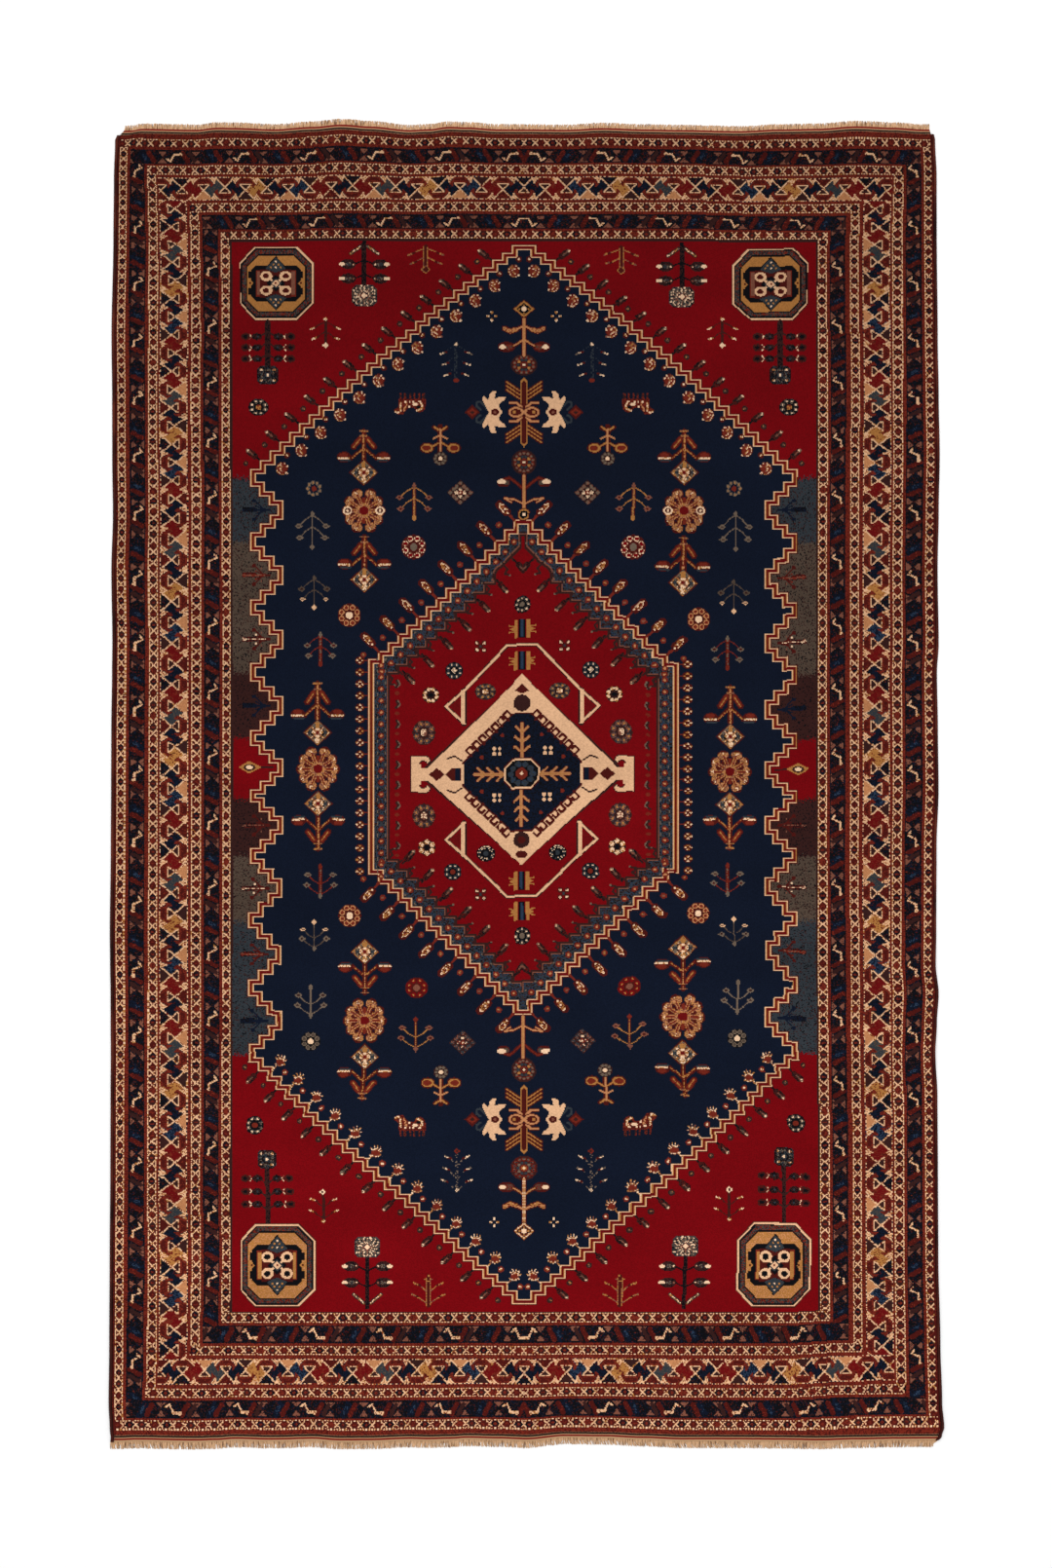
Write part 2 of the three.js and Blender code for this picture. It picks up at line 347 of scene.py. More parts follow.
# Outer edges of the border's stripes, from the rim to the field
BANDS = [Band(*row) for row in (
    (120, 960, 135, 1471, MAROON), (122, 958.5, 140.5, 1465.5, IVORY), (130, 950, 148.5, 1456, RUST),
    (133, 947, 151, 1454, NAVY), (148, 931, 166, 1436.5, RUST), (151, 928, 168, 1433, IVORY),
    (160, 918, 177, 1424, RUST), (162, 916, 180, 1420, IVORY), (190, 888, 204, 1393.5, RUST),
    (193, 884, 207, 1390, IVORY), (202, 875, 215.5, 1381, RUST), (205, 870, 219, 1378, NAVY),
    (221, 854, 233.5, 1360, RUST), (224, 851, 235.5, 1357, IVORY), (233, 841, 244.5, 1347, BROWN),
    (236, 839, 247, 1346, CRIMSON),
)]


def guard_tile(line, dots, half):
    """Narrow stripe of dark six-sided lozenges between ivory crosses, with ivory dots along both rims."""
    pitch, depth, count = 12, 9, 33
    tile = KnotChart(pitch * count, depth, MAROON)
    wools = (BROWN, INK, MAROON, INK, MAROON, BROWN, RUST, BROWN, MAROON, INK, MAROON)
    for number in range(count + 1):
        middle = tile.at(pitch * number, 4.5)
        for size, wool in ((1.0, wools[number % len(wools)]), (0.35, RUST)):
            wide, low, high = half * size, -2.9 * size, 3.0 * size
            upper = [(-wide, 0), (-wide / 2, low), (wide / 2, low), (wide, 0)]
            middle.fill([*upper, (wide / 2, high), (-wide / 2, high)], wool)
        for end in middle.ends():
            between = end.at(pitch / 2, 0)
            between.line([(-4, -4.5), (4, 4.5)], line, IVORY)
            for place in (-2.2, 0, 2.2):
                end.oval(place, 4.2, dots, dots, TAN if place else PEACH)
                between.oval(place, 4.2, dots, dots, IVORY)
    return tile


def bird_tile():
    """Dark stripe: red-brown hourglasses, an ivory bird beside every second one, and dim leaves between."""
    period, depth = 69, 16
    tile = KnotChart(period, depth, INK)
    leaves = ((-4, 4, BROWN), (3, 5, MAROON), (38, 5, MAROON), (45, 6.6, NAVY), (52, 4, INK))
    for start in (tile.at(-period, 0), tile, tile.at(period, 0)):
        for leaf, wide, wool in leaves:
            start.line([(leaf - 2.5, 12.5), (leaf + 2.5, 3.5)], wide, wool)
        start.line([(44, 10.5), (46.5, 5.5)], 2.8, BLUE)
        for hourglass in (start.at(26.5, 0), start.at(61, 0)):
            hourglass.fill([(-4.8, 1.6), (4.8, 1.6), (0, 6.8)], ROSE)
            hourglass.fill([(-4.8, 14.8), (4.8, 14.8), (0, 9.8)], ROSE)
        start.line([(21.9, 10.6), (17.9, 13.2), (14.5, 5.4), (7.7, 4.6)], 1.9, IVORY)
        start.oval(8.1, 4.8, 1.9, 1.5, IVORY)
    return tile


def crossed_leaf_tile():
    """Main stripe: crossed ivory lines that stand on one rim or hang from the other, turn about."""
    pitch, depth = 22, 24
    bodies = (NAVY, RED, BLUE, NAVY, TAN, NAVY, SLATE, RED)
    cups = (INK, MAROON, BROWN, AMBER, INK, BROWN, MAROON, AMBER)
    tile = KnotChart(pitch * len(bodies), depth, NAVY)
    for number, wool in enumerate(bodies):
        tile.block(pitch * number, pitch * (number + 1), 0, depth, wool)
    for number in range(len(bodies) + 1):
        foot = tile.at(pitch * number, depth, 1, -1) if number % 2 else tile.at(pitch * number, 0)
        rim = [(-11, 16), (-5.5, 23), (5.5, 23), (11, 16)]
        foot.fill([*rim, (7.6, 12.6), (6.9, 16.8), (-6.9, 16.8), (-7.6, 12.6)], RUST)
        foot.fill([(-8, 17.6), (-4, 21.6), (4, 21.6), (8, 17.6), (5, 19.4), (-5, 19.4)], MAROON)
        foot.fill([(-9, 1.4), (9, 1.4), (0, 11)], cups[number % len(cups)])
        foot.fill([(0, 10.6), (5.8, 16.8), (-5.8, 16.8)], BROWN)
        for half in foot.sides():
            half.line([(-9.4, 1.6), (5.8, 16.4), (0, 16.4)], 1.4, IVORY)
            half.fill([(8.4, 1.0), (16.4, 1.0), (10.8, 7.4)], IVORY)
            half.line([(10.4, 5.6), (13.4, 1.2)], 0.8, AMBER)
        for dash in range(pitch * number, pitch * (number + 1), 4):
            tile.block(dash, dash + 2, 0, 1, IVORY)
            tile.block(dash, dash + 2, depth - 1, depth, IVORY)
    return tile


# Rows and columns were beaten closer together at the far end: runs of the border repeat down the long sides
CLOSE_ROWS = 520
CLOSE_SHARE = 0.85
OPEN_SHARE = 0.97


def run_down(row):
    """Place along a long side's repeat: rows from row 520 on, divided by the share of its plain length."""
    down = row - CLOSE_ROWS
    return np.where(down < 0, down / CLOSE_SHARE, down / OPEN_SHARE)


def repeat_around(chart, tile, side_tile, number, phase, side_phase):
    """Lays a stripe's repeat around the rug: whole along the ends, and between them down the long sides."""
    outer, inner = BANDS[number], BANDS[number + 1]

    def lay(knots, drawn, place, run):
        depth, length = drawn.shape
        row = np.clip(np.floor(place * depth), 0, depth - 1).astype(int)
        knots[:] = drawn[tuple(np.broadcast_arrays(row, np.floor(run).astype(int) % length))]

    for far, near, rim in ((outer.far, inner.far, outer.far), (inner.near, outer.near, outer.near)):
        knots, columns, rows = chart.part(outer.left, outer.right, round(far), round(near))
        lay(knots, tile.knots, np.abs(rows - rim) / (near - far), np.abs(columns - AXIS) + phase)
    for left, right, rim in ((outer.left, inner.left, outer.left), (inner.right, outer.right, outer.right)):
        knots, columns, rows = chart.part(left, right, round(inner.far), round(inner.near))
        lay(knots, side_tile.knots, np.abs(columns - rim) / (right - left), side_phase - run_down(rows))


# Wool, the wool mixed into it in the border, and its share at the far and the near end: the yarns were carded
# from uneven fleeces
MINGLED = (
    (IVORY, TAN, 0.10, 0.15), (IVORY, RUST, 0.09, 0.19), (TAN, RUST, 0.10, 0.20),
    (INK, BROWN, 0.14, 0.10), (INK, MAROON, 0.06, 0.03), (INK, NAVY, 0.35, 0.35),
    (MAROON, RUST, 0.20, 0.12), (RUST, MAROON, 0.28, 0.36), (NAVY, INK, 0.30, 0.34),
    (NAVY, MAROON, 0.06, 0.04), (BLUE, NAVY, 0.60, 0.60), (ROSE, BROWN, 0.10, 0.16),
    (RED, RUST, 0.20, 0.20), (CRIMSON, RUST, 0.25, 0.25), (SLATE, OLIVE, 0.2, 0.2),
)


def draw_border(chart):
    """Seven stripes of three repeats, with plain lines between them."""
    for band in BANDS:
        chart.block(band.left, band.right, round(band.far), round(band.near), band.wool)
    for far, near in ((BANDS[0].far, BANDS[1].far), (BANDS[1].near, BANDS[0].near)):
        chart.block(BANDS[1].left, BANDS[1].right, far, near, RUST)
    guards = guard_tile(1.2, 0.6, 4.6), guard_tile(1.7, 0.8, 3.9)
    birds, leaves = (bird_tile(),) * 2, (crossed_leaf_tile(),) * 2
    for number, tiles, phase, side_phase in (
        (1, guards, 6, 3), (3, birds, 0, 20.5), (5, guards, 40, 29), (7, leaves, 0, 12),
        (9, guards, 66, 75), (11, birds, 9.5, 3), (13, guards, 90, 51),
    ):
        repeat_around(chart, *tiles, number, phase, side_phase)
    random = np.random.default_rng(5)
    down = np.linspace(0, 1, KNOT_ROWS)[:, None]
    for wool, other, far, near in MINGLED:
        share = far + (near - far) * down
        chart.knots[(chart.knots == wool) & (random.random(chart.knots.shape) < share)] = other


def stepped_area(chart, area):
    """An area's maroon outline, and the ivory and red lines stepping in from it."""
    chart.knots[~shrunk(~area, 1, 1)] = MAROON
    for across, along, wool in STEPPED_LINES:
        chart.knots[shrunk(area, across, along)] = wool


FIELD_EDGE = 236
FIELD_FAR_ROW = 247
FIELD_NEAR_ROW = 1346


class Stepped(NamedTuple):
    """Corners of a stepped edge, from its tip at the axis outwards: corner k is at the tip's column - pitch k
    and the tip's row + rise k + bend k^2."""

    column: float
    row: float
    pitch: float
    rise: float
    bend: float
    steps: int

    def corner(self, k):
        return self.column - self.pitch * k, self.row + self.rise * k + self.bend * k * k

    def outline(self):
        points = [(AXIS + 30, self.row)]
        for k in range(self.steps):
            column = self.corner(k)[0]
            points += [self.corner(k), (column, self.corner(k + 1)[1])]
        return points + [self.corner(self.steps)]


class Narrow(NamedTuple):
    """Rows between which the field's side edge stands furthest out, between two lobes."""

    far: float
    near: float


FIELD_FAR = Stepped(524.5, 251.4, 9.89, 7.4, 0.041, 27)
FIELD_NEAR = Stepped(525.4, 1338.3, 10.0, -8.9, -0.011, 27)
MEDALLION_FAR = Stepped(526.5, 532.6, 9.91, 10.6, -0.068, 15)
MEDALLION_NEAR = Stepped(526.5, 1041.0, 9.91, -9.6, 0, 15)
NARROWS = [Narrow(*row) for row in (
    (481.2, 499.5), (546.4, 564.9), (614.9, 631.4), (680.0, 698.6), (749.3, 764.7), (809.6, 823.4),
    (870.0, 886.1), (936.6, 953.4), (1006.5, 1023.1), (1071.3, 1089.7),
)]
LOBE_COLUMNS = (257.4, 266.4, 276.4, 284.8, 276.6, 267.0)


class Ground(NamedTuple):
    """Colour of the field's side lobes down to a row."""

    near: float
    wool: int


LOBE_GROUNDS = [Ground(*row) for row in (
    (490, CRIMSON), (556, SLATE), (690, OLIVE), (757, BROWN), (819, CRIMSON), (879, BROWN),
    (946, OLIVE), (1082, SLATE),
)]


def side_lobes():
    """Left side edge of the field: between two narrow places a lobe steps in and out over three columns."""
    points = []
    for narrow, following in zip(NARROWS, NARROWS[1:]):
        points.append((LOBE_COLUMNS[0], narrow.near))
        fifth = (following.far - narrow.near) / 5
        for step, column in enumerate(LOBE_COLUMNS[1:]):
            points += [(column, narrow.near + step * fifth), (column, narrow.near + (step + 1) * fifth)]
        points.append((LOBE_COLUMNS[0], following.far))
    return points


def shrunk(mask, across, along):
    """The mask without its outer rim: a knot stays when all within that many columns and rows are in it."""
    kept = mask.copy()
    for step in range(1, across + 1):
        kept[:, step:] &= mask[:, :-step]
        kept[:, :-step] &= mask[:, step:]
    tall = kept.copy()
    for step in range(1, along + 1):
        tall[step:] &= kept[:-step]
        tall[:-step] &= kept[step:]
    return tall


# Where each line of a stepped outline starts, in knots inside it, and its wool
STEPPED_LINES = ((0, 0, IVORY), (1, 1, TAN), (2, 1, RED), (4, 4, TAN), (5, 4, IVORY))


def draw_field(chart):
    """Side lobes, navy field and medallion, each within its stepped ivory and red line."""
    far = NARROWS[0].far
    knots, columns, rows = chart.part(FIELD_EDGE, 300, far, NARROWS[-1].near)
    ragged = rows + chart.random.normal(0, 1.8, knots.shape)
    for near, wool in LOBE_GROUNDS:
        mixed = CRIMSON if wool == CRIMSON else (wool,) * 8 + (BROWN, INK)
        chart.put(knots, (ragged >= far) & (ragged < near), mixed)
        far = near
    field = chart.inside(FIELD_FAR.outline() + side_lobes() + FIELD_NEAR.outline()[::-1])
    stepped_area(chart, field)
    chart.knots[shrunk(field, 6, 5)] = NAVY
    medallion = chart.inside(MEDALLION_FAR.outline() + MEDALLION_NEAR.outline()[::-1])
    stepped_area(chart, medallion)
    chart.put(chart.knots, shrunk(medallion, 6, 5), (SLATE, SLATE, INK, BROWN, BLUE))
    neck = [(AXIS - 4.5, 547), (AXIS - 4.5, 560), (525, 567), (515, 577), (507, 583), (504, 596)]
    inner = shrunk(medallion, 19, 13) | chart.inside([(AXIS + 5, 547), *neck, (AXIS + 5, 596)])
    chart.knots[inner] = ROSE
    chart.knots[shrunk(inner, 1, 1)] = BROWN
    chart.knots[shrunk(inner, 3, 3)] = CRIMSON


def draw_edge_buds(chart):
    """Buds, dots and small flowers at every second step of the stepped lines."""
    for k in range(0, FIELD_FAR.steps, 2):
        corner = chart.at(*FIELD_FAR.corner(k))
        if k < 26:
            curled_flower(corner.at(2.3, 26 + 0.08 * k))
            halo_dot(corner, 7.7, 14.1, MAROON, PEACH)
        if k:
            bud(corner.at(-13, -9.5), 12, 9, PEACH)
            halo_dot(chart.at(*FIELD_FAR.corner(k + 1)), -5.4, -5.8, BROWN, OLIVE)
    for k in range(0, FIELD_NEAR.steps, 2):
        corner = chart.at(*FIELD_NEAR.corner(k))
        if k < 26:
            palmette(corner.at(2.8, -30))
            halo_dot(corner, 8.2, -18, RUST, PEACH)
        if k:
            bud(corner.at(-11.6, 11), 11, -10, PEACH)
        halo_dot(chart.at(*FIELD_NEAR.corner(k + 1)), -4.5, 4.8, BROWN, OLIVE)
    for edge, down in ((MEDALLION_FAR, 1), (MEDALLION_NEAR, -1)):
        corners = [chart.at(*edge.corner(k), 1, down) for k in range(edge.steps + 1)]
        for corner in corners[::2]:
            ivory_bud(corner.at(-11, -11))
        for k in range(1, edge.steps + 1):
            if k % 2:
                halo_dot(corners[k], -5, -4.7, RUST, ROSE)
            berry = corners[k].at(11.5 + 0.15 * k, 12.5)
            berry.oval(0, 0, 3.2, 3.2, RUST, 1.3, 1.3, AMBER)
            berry.dots(((-5, -4.5), (5.5, 1.5)), 1.0, 1.0, FAWN)
        for k in range(2, edge.steps + 1, 2):
            corners[k].line([(19, 15), (20, 20), (25, 24)], 2.2, BROWN)
            bud(corners[k].at(32.5 + 0.3 * k, 33), -11, -12, IVORY)
        for corner in corners[3::2]:
            corner.line([(19, 14), (25, 20), (22, 25), (27, 26)], 2.2, BROWN)
            corner.oval(27.5, 26.5, 1.0, 1.0, FAWN)
    for flower in range(19):
        middle = chart.at(369.5, 677.5 + 12.03 * flower)
        middle.oval(0, 0, 4.6, 4.2, MAROON)
        middle.dots(((-3, 0), (0, -2.4), (0, 2.4), (2.6, 0)), 1.2, 1.0, (PEACH, TAN))
        middle.line([(3.5, 0), (8.5, 0)], 0.9, RUST)
        middle.oval(21.8, 5, 3.0, 3.0, RUST, 1.3, 1.3, AMBER)
        middle.dots(((18, -1), (26, -1)), 1.0, 1.6, FAWN)
    for leaf in range(9):
        middle = chart.at(400, 701.5 + 20.8 * leaf)
        middle.line([(7.0, -3.5), (9.0, 0), (6.5, 3.5)], 2.6, BROWN)
        middle.line([(8.5, -3.5), (10.8, 0), (8.5, 3)], 1.2, FAWN)
        middle.oval(7.5, 9.5, 2.2, 1.8, RUST)


def halo_dot(chart, x, y, halo, wool):
    """Small dot in a darker round of knots."""
    chart.oval(x, y, 3.1, 3.1, halo, 1.5, 1.3, (wool, wool, TAN, ROSE))


def rosette(chart, x, y, across, along, petals, petal, middle, ring=None, heart=None, turned=0.5):
    """Flower of oval petals set evenly round a middle, on a darker round and with hearts where given."""
    chart = chart.at(x, y)
    if ring is not None:
        chart.oval(0, 0, across, along, ring)
    size = min(0.30, 1.95 / petals)
    share = size * (0.4 if heart in (PEACH, TAN) else 0.62)
    for cosine, sine in around(petals, turned):
        at = 0.72 * across * cosine, 0.72 * along * sine
        chart.oval(*at, size * across, size * along, petal)
        if heart is not None:
            chart.oval(*at, share * across, share * along, heart)
    chart.oval(0, 0, 0.3 * across, 0.3 * along, middle)


def bud(chart, across, along, tip):
    """Closed bud: a pale tip, and a dark leaf from it to its stalk's root, given from the tip."""
    for start, end, width, wool in (
        (0.1, 1, 2.4, (BROWN, INK)),
        (0.14, 0.62, 6.6, (BROWN, INK, MAROON)),
        (0.1, 0.45, 1.8, (ROSE, OLIVE)),
    ):
        chart.line([(start * across, start * along), (end * across, end * along)], width, wool)
    chart.oval(0, 0, 2.0, 1.7, (ROSE, FAWN), 1.3, 1.2, (tip, tip, FAWN))


def ivory_bud(chart):
    """Slanted bud, ivory around a red heart, on a thin stalk."""
    leaf = ((-4.4, -6.2), (0.8, -5.0), (5.8, 0.6), (6.4, 5.6), (1.4, 4.8), (-3.4, -0.6))
    chart.line([(4, 4), (8.5, 8), (12, 12)], 2.4, RUST)
    chart.line([(-3, -4), (4.6, 3.6)], 8.6, MAROON)
    chart.fill([(0.9 * x, 0.9 * y) for x, y in leaf], (PEACH, PEACH, TAN))
    chart.line([(-0.6, -2.0), (4.2, 3.2)], 4.2, (RUST, MAROON, TAN))
    chart.dots(((2.4, 0.6), (5.2, 4.6)), 1.0, 1.0, PEACH)


def curled_flower(chart):
    """Small round flower: a tan curl on rust wool, with pale petals to its right."""
    chart.oval(0, 0, 6.2, 6.8, MAROON)
    chart.oval(0.4, 0, 4.8, 5.2, RUST)
    chart.line([(-1, -5.5), (-4.8, -2), (-4.6, 2.5), (-1.0, 5.8), (2.4, 6.0)], 1.3, PINKISH)
    chart.line([(-2, -3.4), (1.4, -2.2), (-2, 0), (1.4, 3.4)], 1.3, PINKISH)
    chart.dots(((2.6, -5.2), (5.2, -2.4), (4.8, 4.9)), 1.3, 1.2, ROSY)


def palmette(chart):
    """Open hand of five ivory fingers over a red palm, on a stalk from lower left."""
    chart.oval(0, 1, 4.2, 4.2, RUST)
    for x, y in ((-5.0, -3.5), (-2.0, -5.6), (1.4, -6.0), (4.6, -4.4), (5.6, -0.6)):
        chart.line([(0.55 * x, 0.35 * y), (x, y)], 1.5, PINKISH)
    chart.line([(-5.2, 3.5), (-1, 5.4), (4.2, 3.6)], 1.5, PINKISH)
    chart.line([(-4.5, 5), (-8, 9)], 1.5, PINKISH)


class Twig(NamedTuple):
    """Thin twig: its stem from foot to tip, with slanted branches that end in a small leaf."""

    column: float
    foot: float
    tip: float
    spread: float
    pairs: int
    stem: int | tuple
    leaf: int | tuple
    end: int


TWIGS = [Twig(*row) for row in (
    (425.0, 498, 531, 15.0, 2, TAN, ROSE, TAN),
    (320.7, 527, 561, 14.0, 2, FAWN, FAWN, FAWN),
    (322.7, 593, 623, 13.0, 2, OLIVE, OLIVE, IVORY),
    (329.0, 651, 681, 13.5, 2, RUST, FAWN, RUST), (328.9, 919, 889, 14.0, 2, RUST, FAWN, RUST),
    (322.6, 973, 946, 12.5, 2, OLIVE, FAWN, IVORY),
    (319.0, 1042, 1013, 13.5, 2, FAWN, FAWN, FAWN),
    (426.5, 1076, 1046, 15.0, 2, TAN, ROSE, RUST),
)]

PALE_STEM = (TAN, TAN, ROSE)

# Twigs whose leaves stand apart from their stems
LOOSE_TWIGS = [Twig(*row) for row in (
    (467.9, 353, 390, 14.5, 3, (SLATE, NAVY, NAVY), (PEACH, FAWN), RUST),
    (468.8, 1221, 1181, 14.5, 3, (FAWN, NAVY, NAVY), (PEACH, FAWN), RUST),
    (334.2, 327, 354, 14.0, 2, (BROWN, MAROON), (PEACH, TAN), PEACH),
    (332.4, 1253, 1223, 13.5, 2, (BROWN, MAROON), (PEACH, TAN), PEACH),
    (436.8, 252, 276, 17.0, 2, PALE_STEM, (TAN, ROSE), TAN),
    (439.6, 1340, 1309, 15.5, 2, PALE_STEM, (TAN, ROSE), TAN),
)]


def draw_twigs(chart):
    """Thin twigs of the navy field, their leaves in pairs up the stem."""
    for twig in TWIGS:
        length = twig.tip - twig.foot
        pale = twig.stem in (TAN, RUST)
        foot = chart.at(twig.column, twig.foot)
        if pale:
            foot.line([(0, 0), (0, length)], 3.6, MAROON)
        foot.line([(0, 0), (0, length)], 1.6, (twig.stem, twig.stem, twig.leaf))
        for pair in range(twig.pairs):
            root = length * (0.04 + 0.70 * pair / twig.pairs)
            end = root + 0.33 * length
            at = twig.spread * (1 - 0.08 * pair)
            middle = 0.5 * twig.spread, root + 0.13 * length
            leaf = twig.end if twig.end == IVORY and pair else twig.leaf
            size = 0.7 if leaf in (IVORY, PEACH) else 1
            for half in foot.sides():
                half.line([(0, root), middle, (at - 2, end - 0.06 * length)], 1.1, twig.stem)
                half.diamond(at, end, 4.2 * size, 3.0 * size, leaf)
                half.oval(at, end, 1.5, 0.9, MAROON if pale else BROWN)
        foot.diamond(0, 0, 2.4, 3.6, twig.leaf)
        foot.diamond(0, length, 2.8, 3.4, twig.end)
    for twig in LOOSE_TWIGS:
        draw_loose_twig(chart, twig)


def draw_loose_twig(chart, twig):
    """Thin stem, double where it is pale, with short slanted leaves at the ends of its faint branches."""
    length = abs(twig.tip - twig.foot)
    down = 1 if twig.tip > twig.foot else -1
    pale = twig.stem == PALE_STEM
    foot = chart.at(twig.column, twig.foot, 1, down)
    if pale:
        foot.line([(0, 0), (0, length)], 3.4, MAROON)
    x, width, bends = (2.0, 0.9, 3) if pale else (0.7, 1.4, 2)
    for half in foot.sides():
        half.line([(x, 0), (x, length - 2)], width, twig.stem)
        for pair in range(twig.pairs):
            at = twig.spread * (1 - 0.12 * pair)
            end = length * (0.25 + 0.3 * pair if twig.pairs == 3 else 0.36 + 0.38 * pair)
            branch = [(x, end - 0.25 * length), (at - 0.4 * twig.spread, end - 3), (at, end)]
            half.line(branch[:bends], 1.1, twig.stem)
            half.line([(at - 5, end - 1.6), (at - 2, end - 0.6)], 2.0, MAROON)
            half.line([(at - 2.4, end - 0.7), (at + 1.4, end + 0.8)], 1.7, twig.leaf)
    foot.diamond(0, 0, 2.6, 2.0, MAROON if pale else twig.leaf)
    tip = foot.at(0, length)
    if pale and down > 0:
        tip.diamond(0, 0, 5.2, 4.6, twig.stem, 3.8, 3.4, MAROON)
    elif pale:
        for half in tip.sides():
            half.line([(4, -3), (0, -6)], 1.0, twig.stem)
        tip.diamond(0, 0, 1.6, 1.6, twig.stem)
    else:
        tip.diamond(0, 0, 3.6, 2.8, twig.end)
        tip.oval(0, 0, 1.1, 0.9, twig.end if down > 0 else BROWN)


class Plant(NamedTuple):
    """Plant of the side columns: a forked foot, two leaves and a diamond flower, along the rug."""

    column: float
    foot: float
    flower: float


PLANTS = [Plant(*row) for row in (
    (373.3, 442.0, 484.5), (374.0, 550.5, 594.5), (326.0, 701.0, 751.5), (326.6, 871.0, 824.5),
    (374.5, 1018.6, 976.6), (374.5, 1127.0, 1084.5),
)]


def draw_plants(chart):
    """Plants of the side columns, their places along the stem given in shares of its length."""
    for plant in PLANTS:
        foot = chart.at(plant.column, plant.foot, 1, plant.flower - plant.foot)
        foot.line([(0, 0), (0, 0.72)], 5.2, MAROON)
        for half in foot.sides():
            half.line([(4, 0.19), (10.5, 0.38)], 6.2, MAROON)
            half.line([(4, 0.19), (10.0, 0.37)], 4.4, RUST)
            half.line([(4, 0.20), (10.5, 0.39)], 1.0, TAN)
            half.line([(0, 0.40), (13, 0.66)], 3.4, MAROON)
            half.line([(13, 0.66), (19, 0.56)], 4.0, MAROON)
            half.oval(20, 0.63, 7.6, 5.6, MAROON)
            half.oval(20.5, 0.58, 4.6, 2.4, RUST)
            half.line([(0, 0.42), (12, 0.65)], 1.5, (TAN, RUST))
            half.line([(14, 0.71), (24, 0.71)], 1.6, SLATE)
            half.line([(15, 0.66), (26, 0.65)], 2.1, (PEACH, PEACH, TAN))
        for bar, half in ((0, 4), (0.12, 3.4)):
            foot.line([(-half, bar), (half, bar)], 1.5, (TAN, ROSE))
        foot.line([(0, 0.02), (0, 0.76)], 1.8, (AMBER, TAN, RUST))
        diamond_flower(chart.at(plant.column, plant.flower), 13.5, 12.5)


def diamond_flower(chart, across, along):
    """Flower in a dotted diamond: a tall pale heart with a red eye, small petals towards its four points."""
    chart.diamond(0, 0, across + 1.5, along + 1.5, MAROON, across, along, (FAWN, TAN))
    chart.diamond(0, 0, 0.84 * across, 0.84 * along, DUSKY)
    for step, (x, y) in enumerate(around(16)):
        reach = 0.78 / (abs(x) + abs(y))
        chart.oval(reach * across * x, reach * along * y, 1.3, 1.2, (PINKISH, FAWN)[step % 2])
    for x, y, wide, tall, wool in (
        (0, 0, 0.36, 0.42, (AMBER, ROSE)), (0, -0.55, 0.16, 0.26, TAN),
        (0, 0.6, 0.2, 0.26, (PEACH, TAN)), (-0.6, 0, 0.12, 0.12, SLATE), (0.6, 0, 0.12, 0.12, SLATE),
        (-0.3, -0.05, 0.12, 0.2, (PEACH, TAN)), (0.3, -0.05, 0.12, 0.2, (PEACH, TAN)),
        (0, -0.28, 0.14, 0.11, PEACH), (0, 0.28, 0.14, 0.11, PEACH), (0, 0, 0.13, 0.13, RED),
    ):
        chart.oval(x * across, y * along, wide * across, tall * along, wool)


class Flower(NamedTuple):
    """Round flower of the field: its middle, half sizes, number of petals, and wools."""

    column: float
    row: float
    across: float
    along: float
    petals: int
    petal: int | tuple
    middle: int | tuple
    ring: int
    heart: int
    turned: float = 0.5


FLOWERS = [Flower(*row) for row in (
    (322.3, 501.1, 8.8, 8.8, 9, FAWN, RUST, NAVY, TAN),
    (358.6, 631.1, 11.8, 11.8, 8, AMBER, PEACH, MAROON, RUST),
    (359.0, 939.4, 11.6, 11.6, 8, AMBER, PEACH, MAROON, RUST),
    (319.0, 1068.2, 9.8, 9.6, 8, FAWN, PEACH, INK, OLIVE),
    (424.5, 561.0, 12.6, 12.6, 8, ROSY, FAWN, MAROON, CRIMSON),
    (427.5, 1013.5, 11.6, 10.6, 8, (RED, CRIMSON), ROSE, MAROON, TAN),
    (537.5, 374.0, 13.4, 11.0, 12, RUST, RUST, BROWN, FAWN),
    (537.5, 473.9, 12.8, 12.8, 14, RUST, RUST, BROWN, FAWN),
    (537.5, 1097.5, 12.8, 12.8, 14, RUST, RUST, BROWN, FAWN),
    (537.0, 1198.5, 13.2, 12.6, 14, RUST, RUST, (MAROON, BROWN), GREYISH),
    (537.5, 620.5, 9.0, 9.2, 8, GREYISH, FAWN, INK, PEACH, 0),
    (537.5, 961.0, 9.0, 9.2, 8, GREYISH, FAWN, INK, PEACH, 0),
    (466.0, 688.0, 9.2, 8.8, 8, SLATE, (SLATE, PEACH), INK, PEACH),
    (442.0, 713.0, 8.6, 8.4, 8, (PEACH, TAN), INK, BROWN, PEACH),
    (498.0, 709.5, 10.8, 8.4, 8, GREYISH, PINKISH, BROWN, TAN),
    (435.0, 751.5, 11.6, 13.0, 8, (ROSE, SLATE), ROSY, BROWN, TAN),
    (435.0, 837.0, 11.6, 12.6, 8, (ROSE, SLATE), ROSY, BROWN, TAN),
    (438.0, 869.5, 8.6, 8.2, 6, (PEACH, TAN), INK, BROWN, PEACH),
    (498.5, 875.5, 9.8, 8.4, 10, (PEACH, INK), SLATE, INK, SLATE, 0),
    (464.5, 894.5, 9.0, 8.8, 8, SLATE, RUST, INK, PEACH),
    (265.6, 417.5, 10.2, 9.0, 8, GREYISH, (RUST, TAN), INK, PEACH),
    (262.0, 1154.5, 9.8, 9.6, 8, GREYISH, RUST, INK, PEACH),
)]


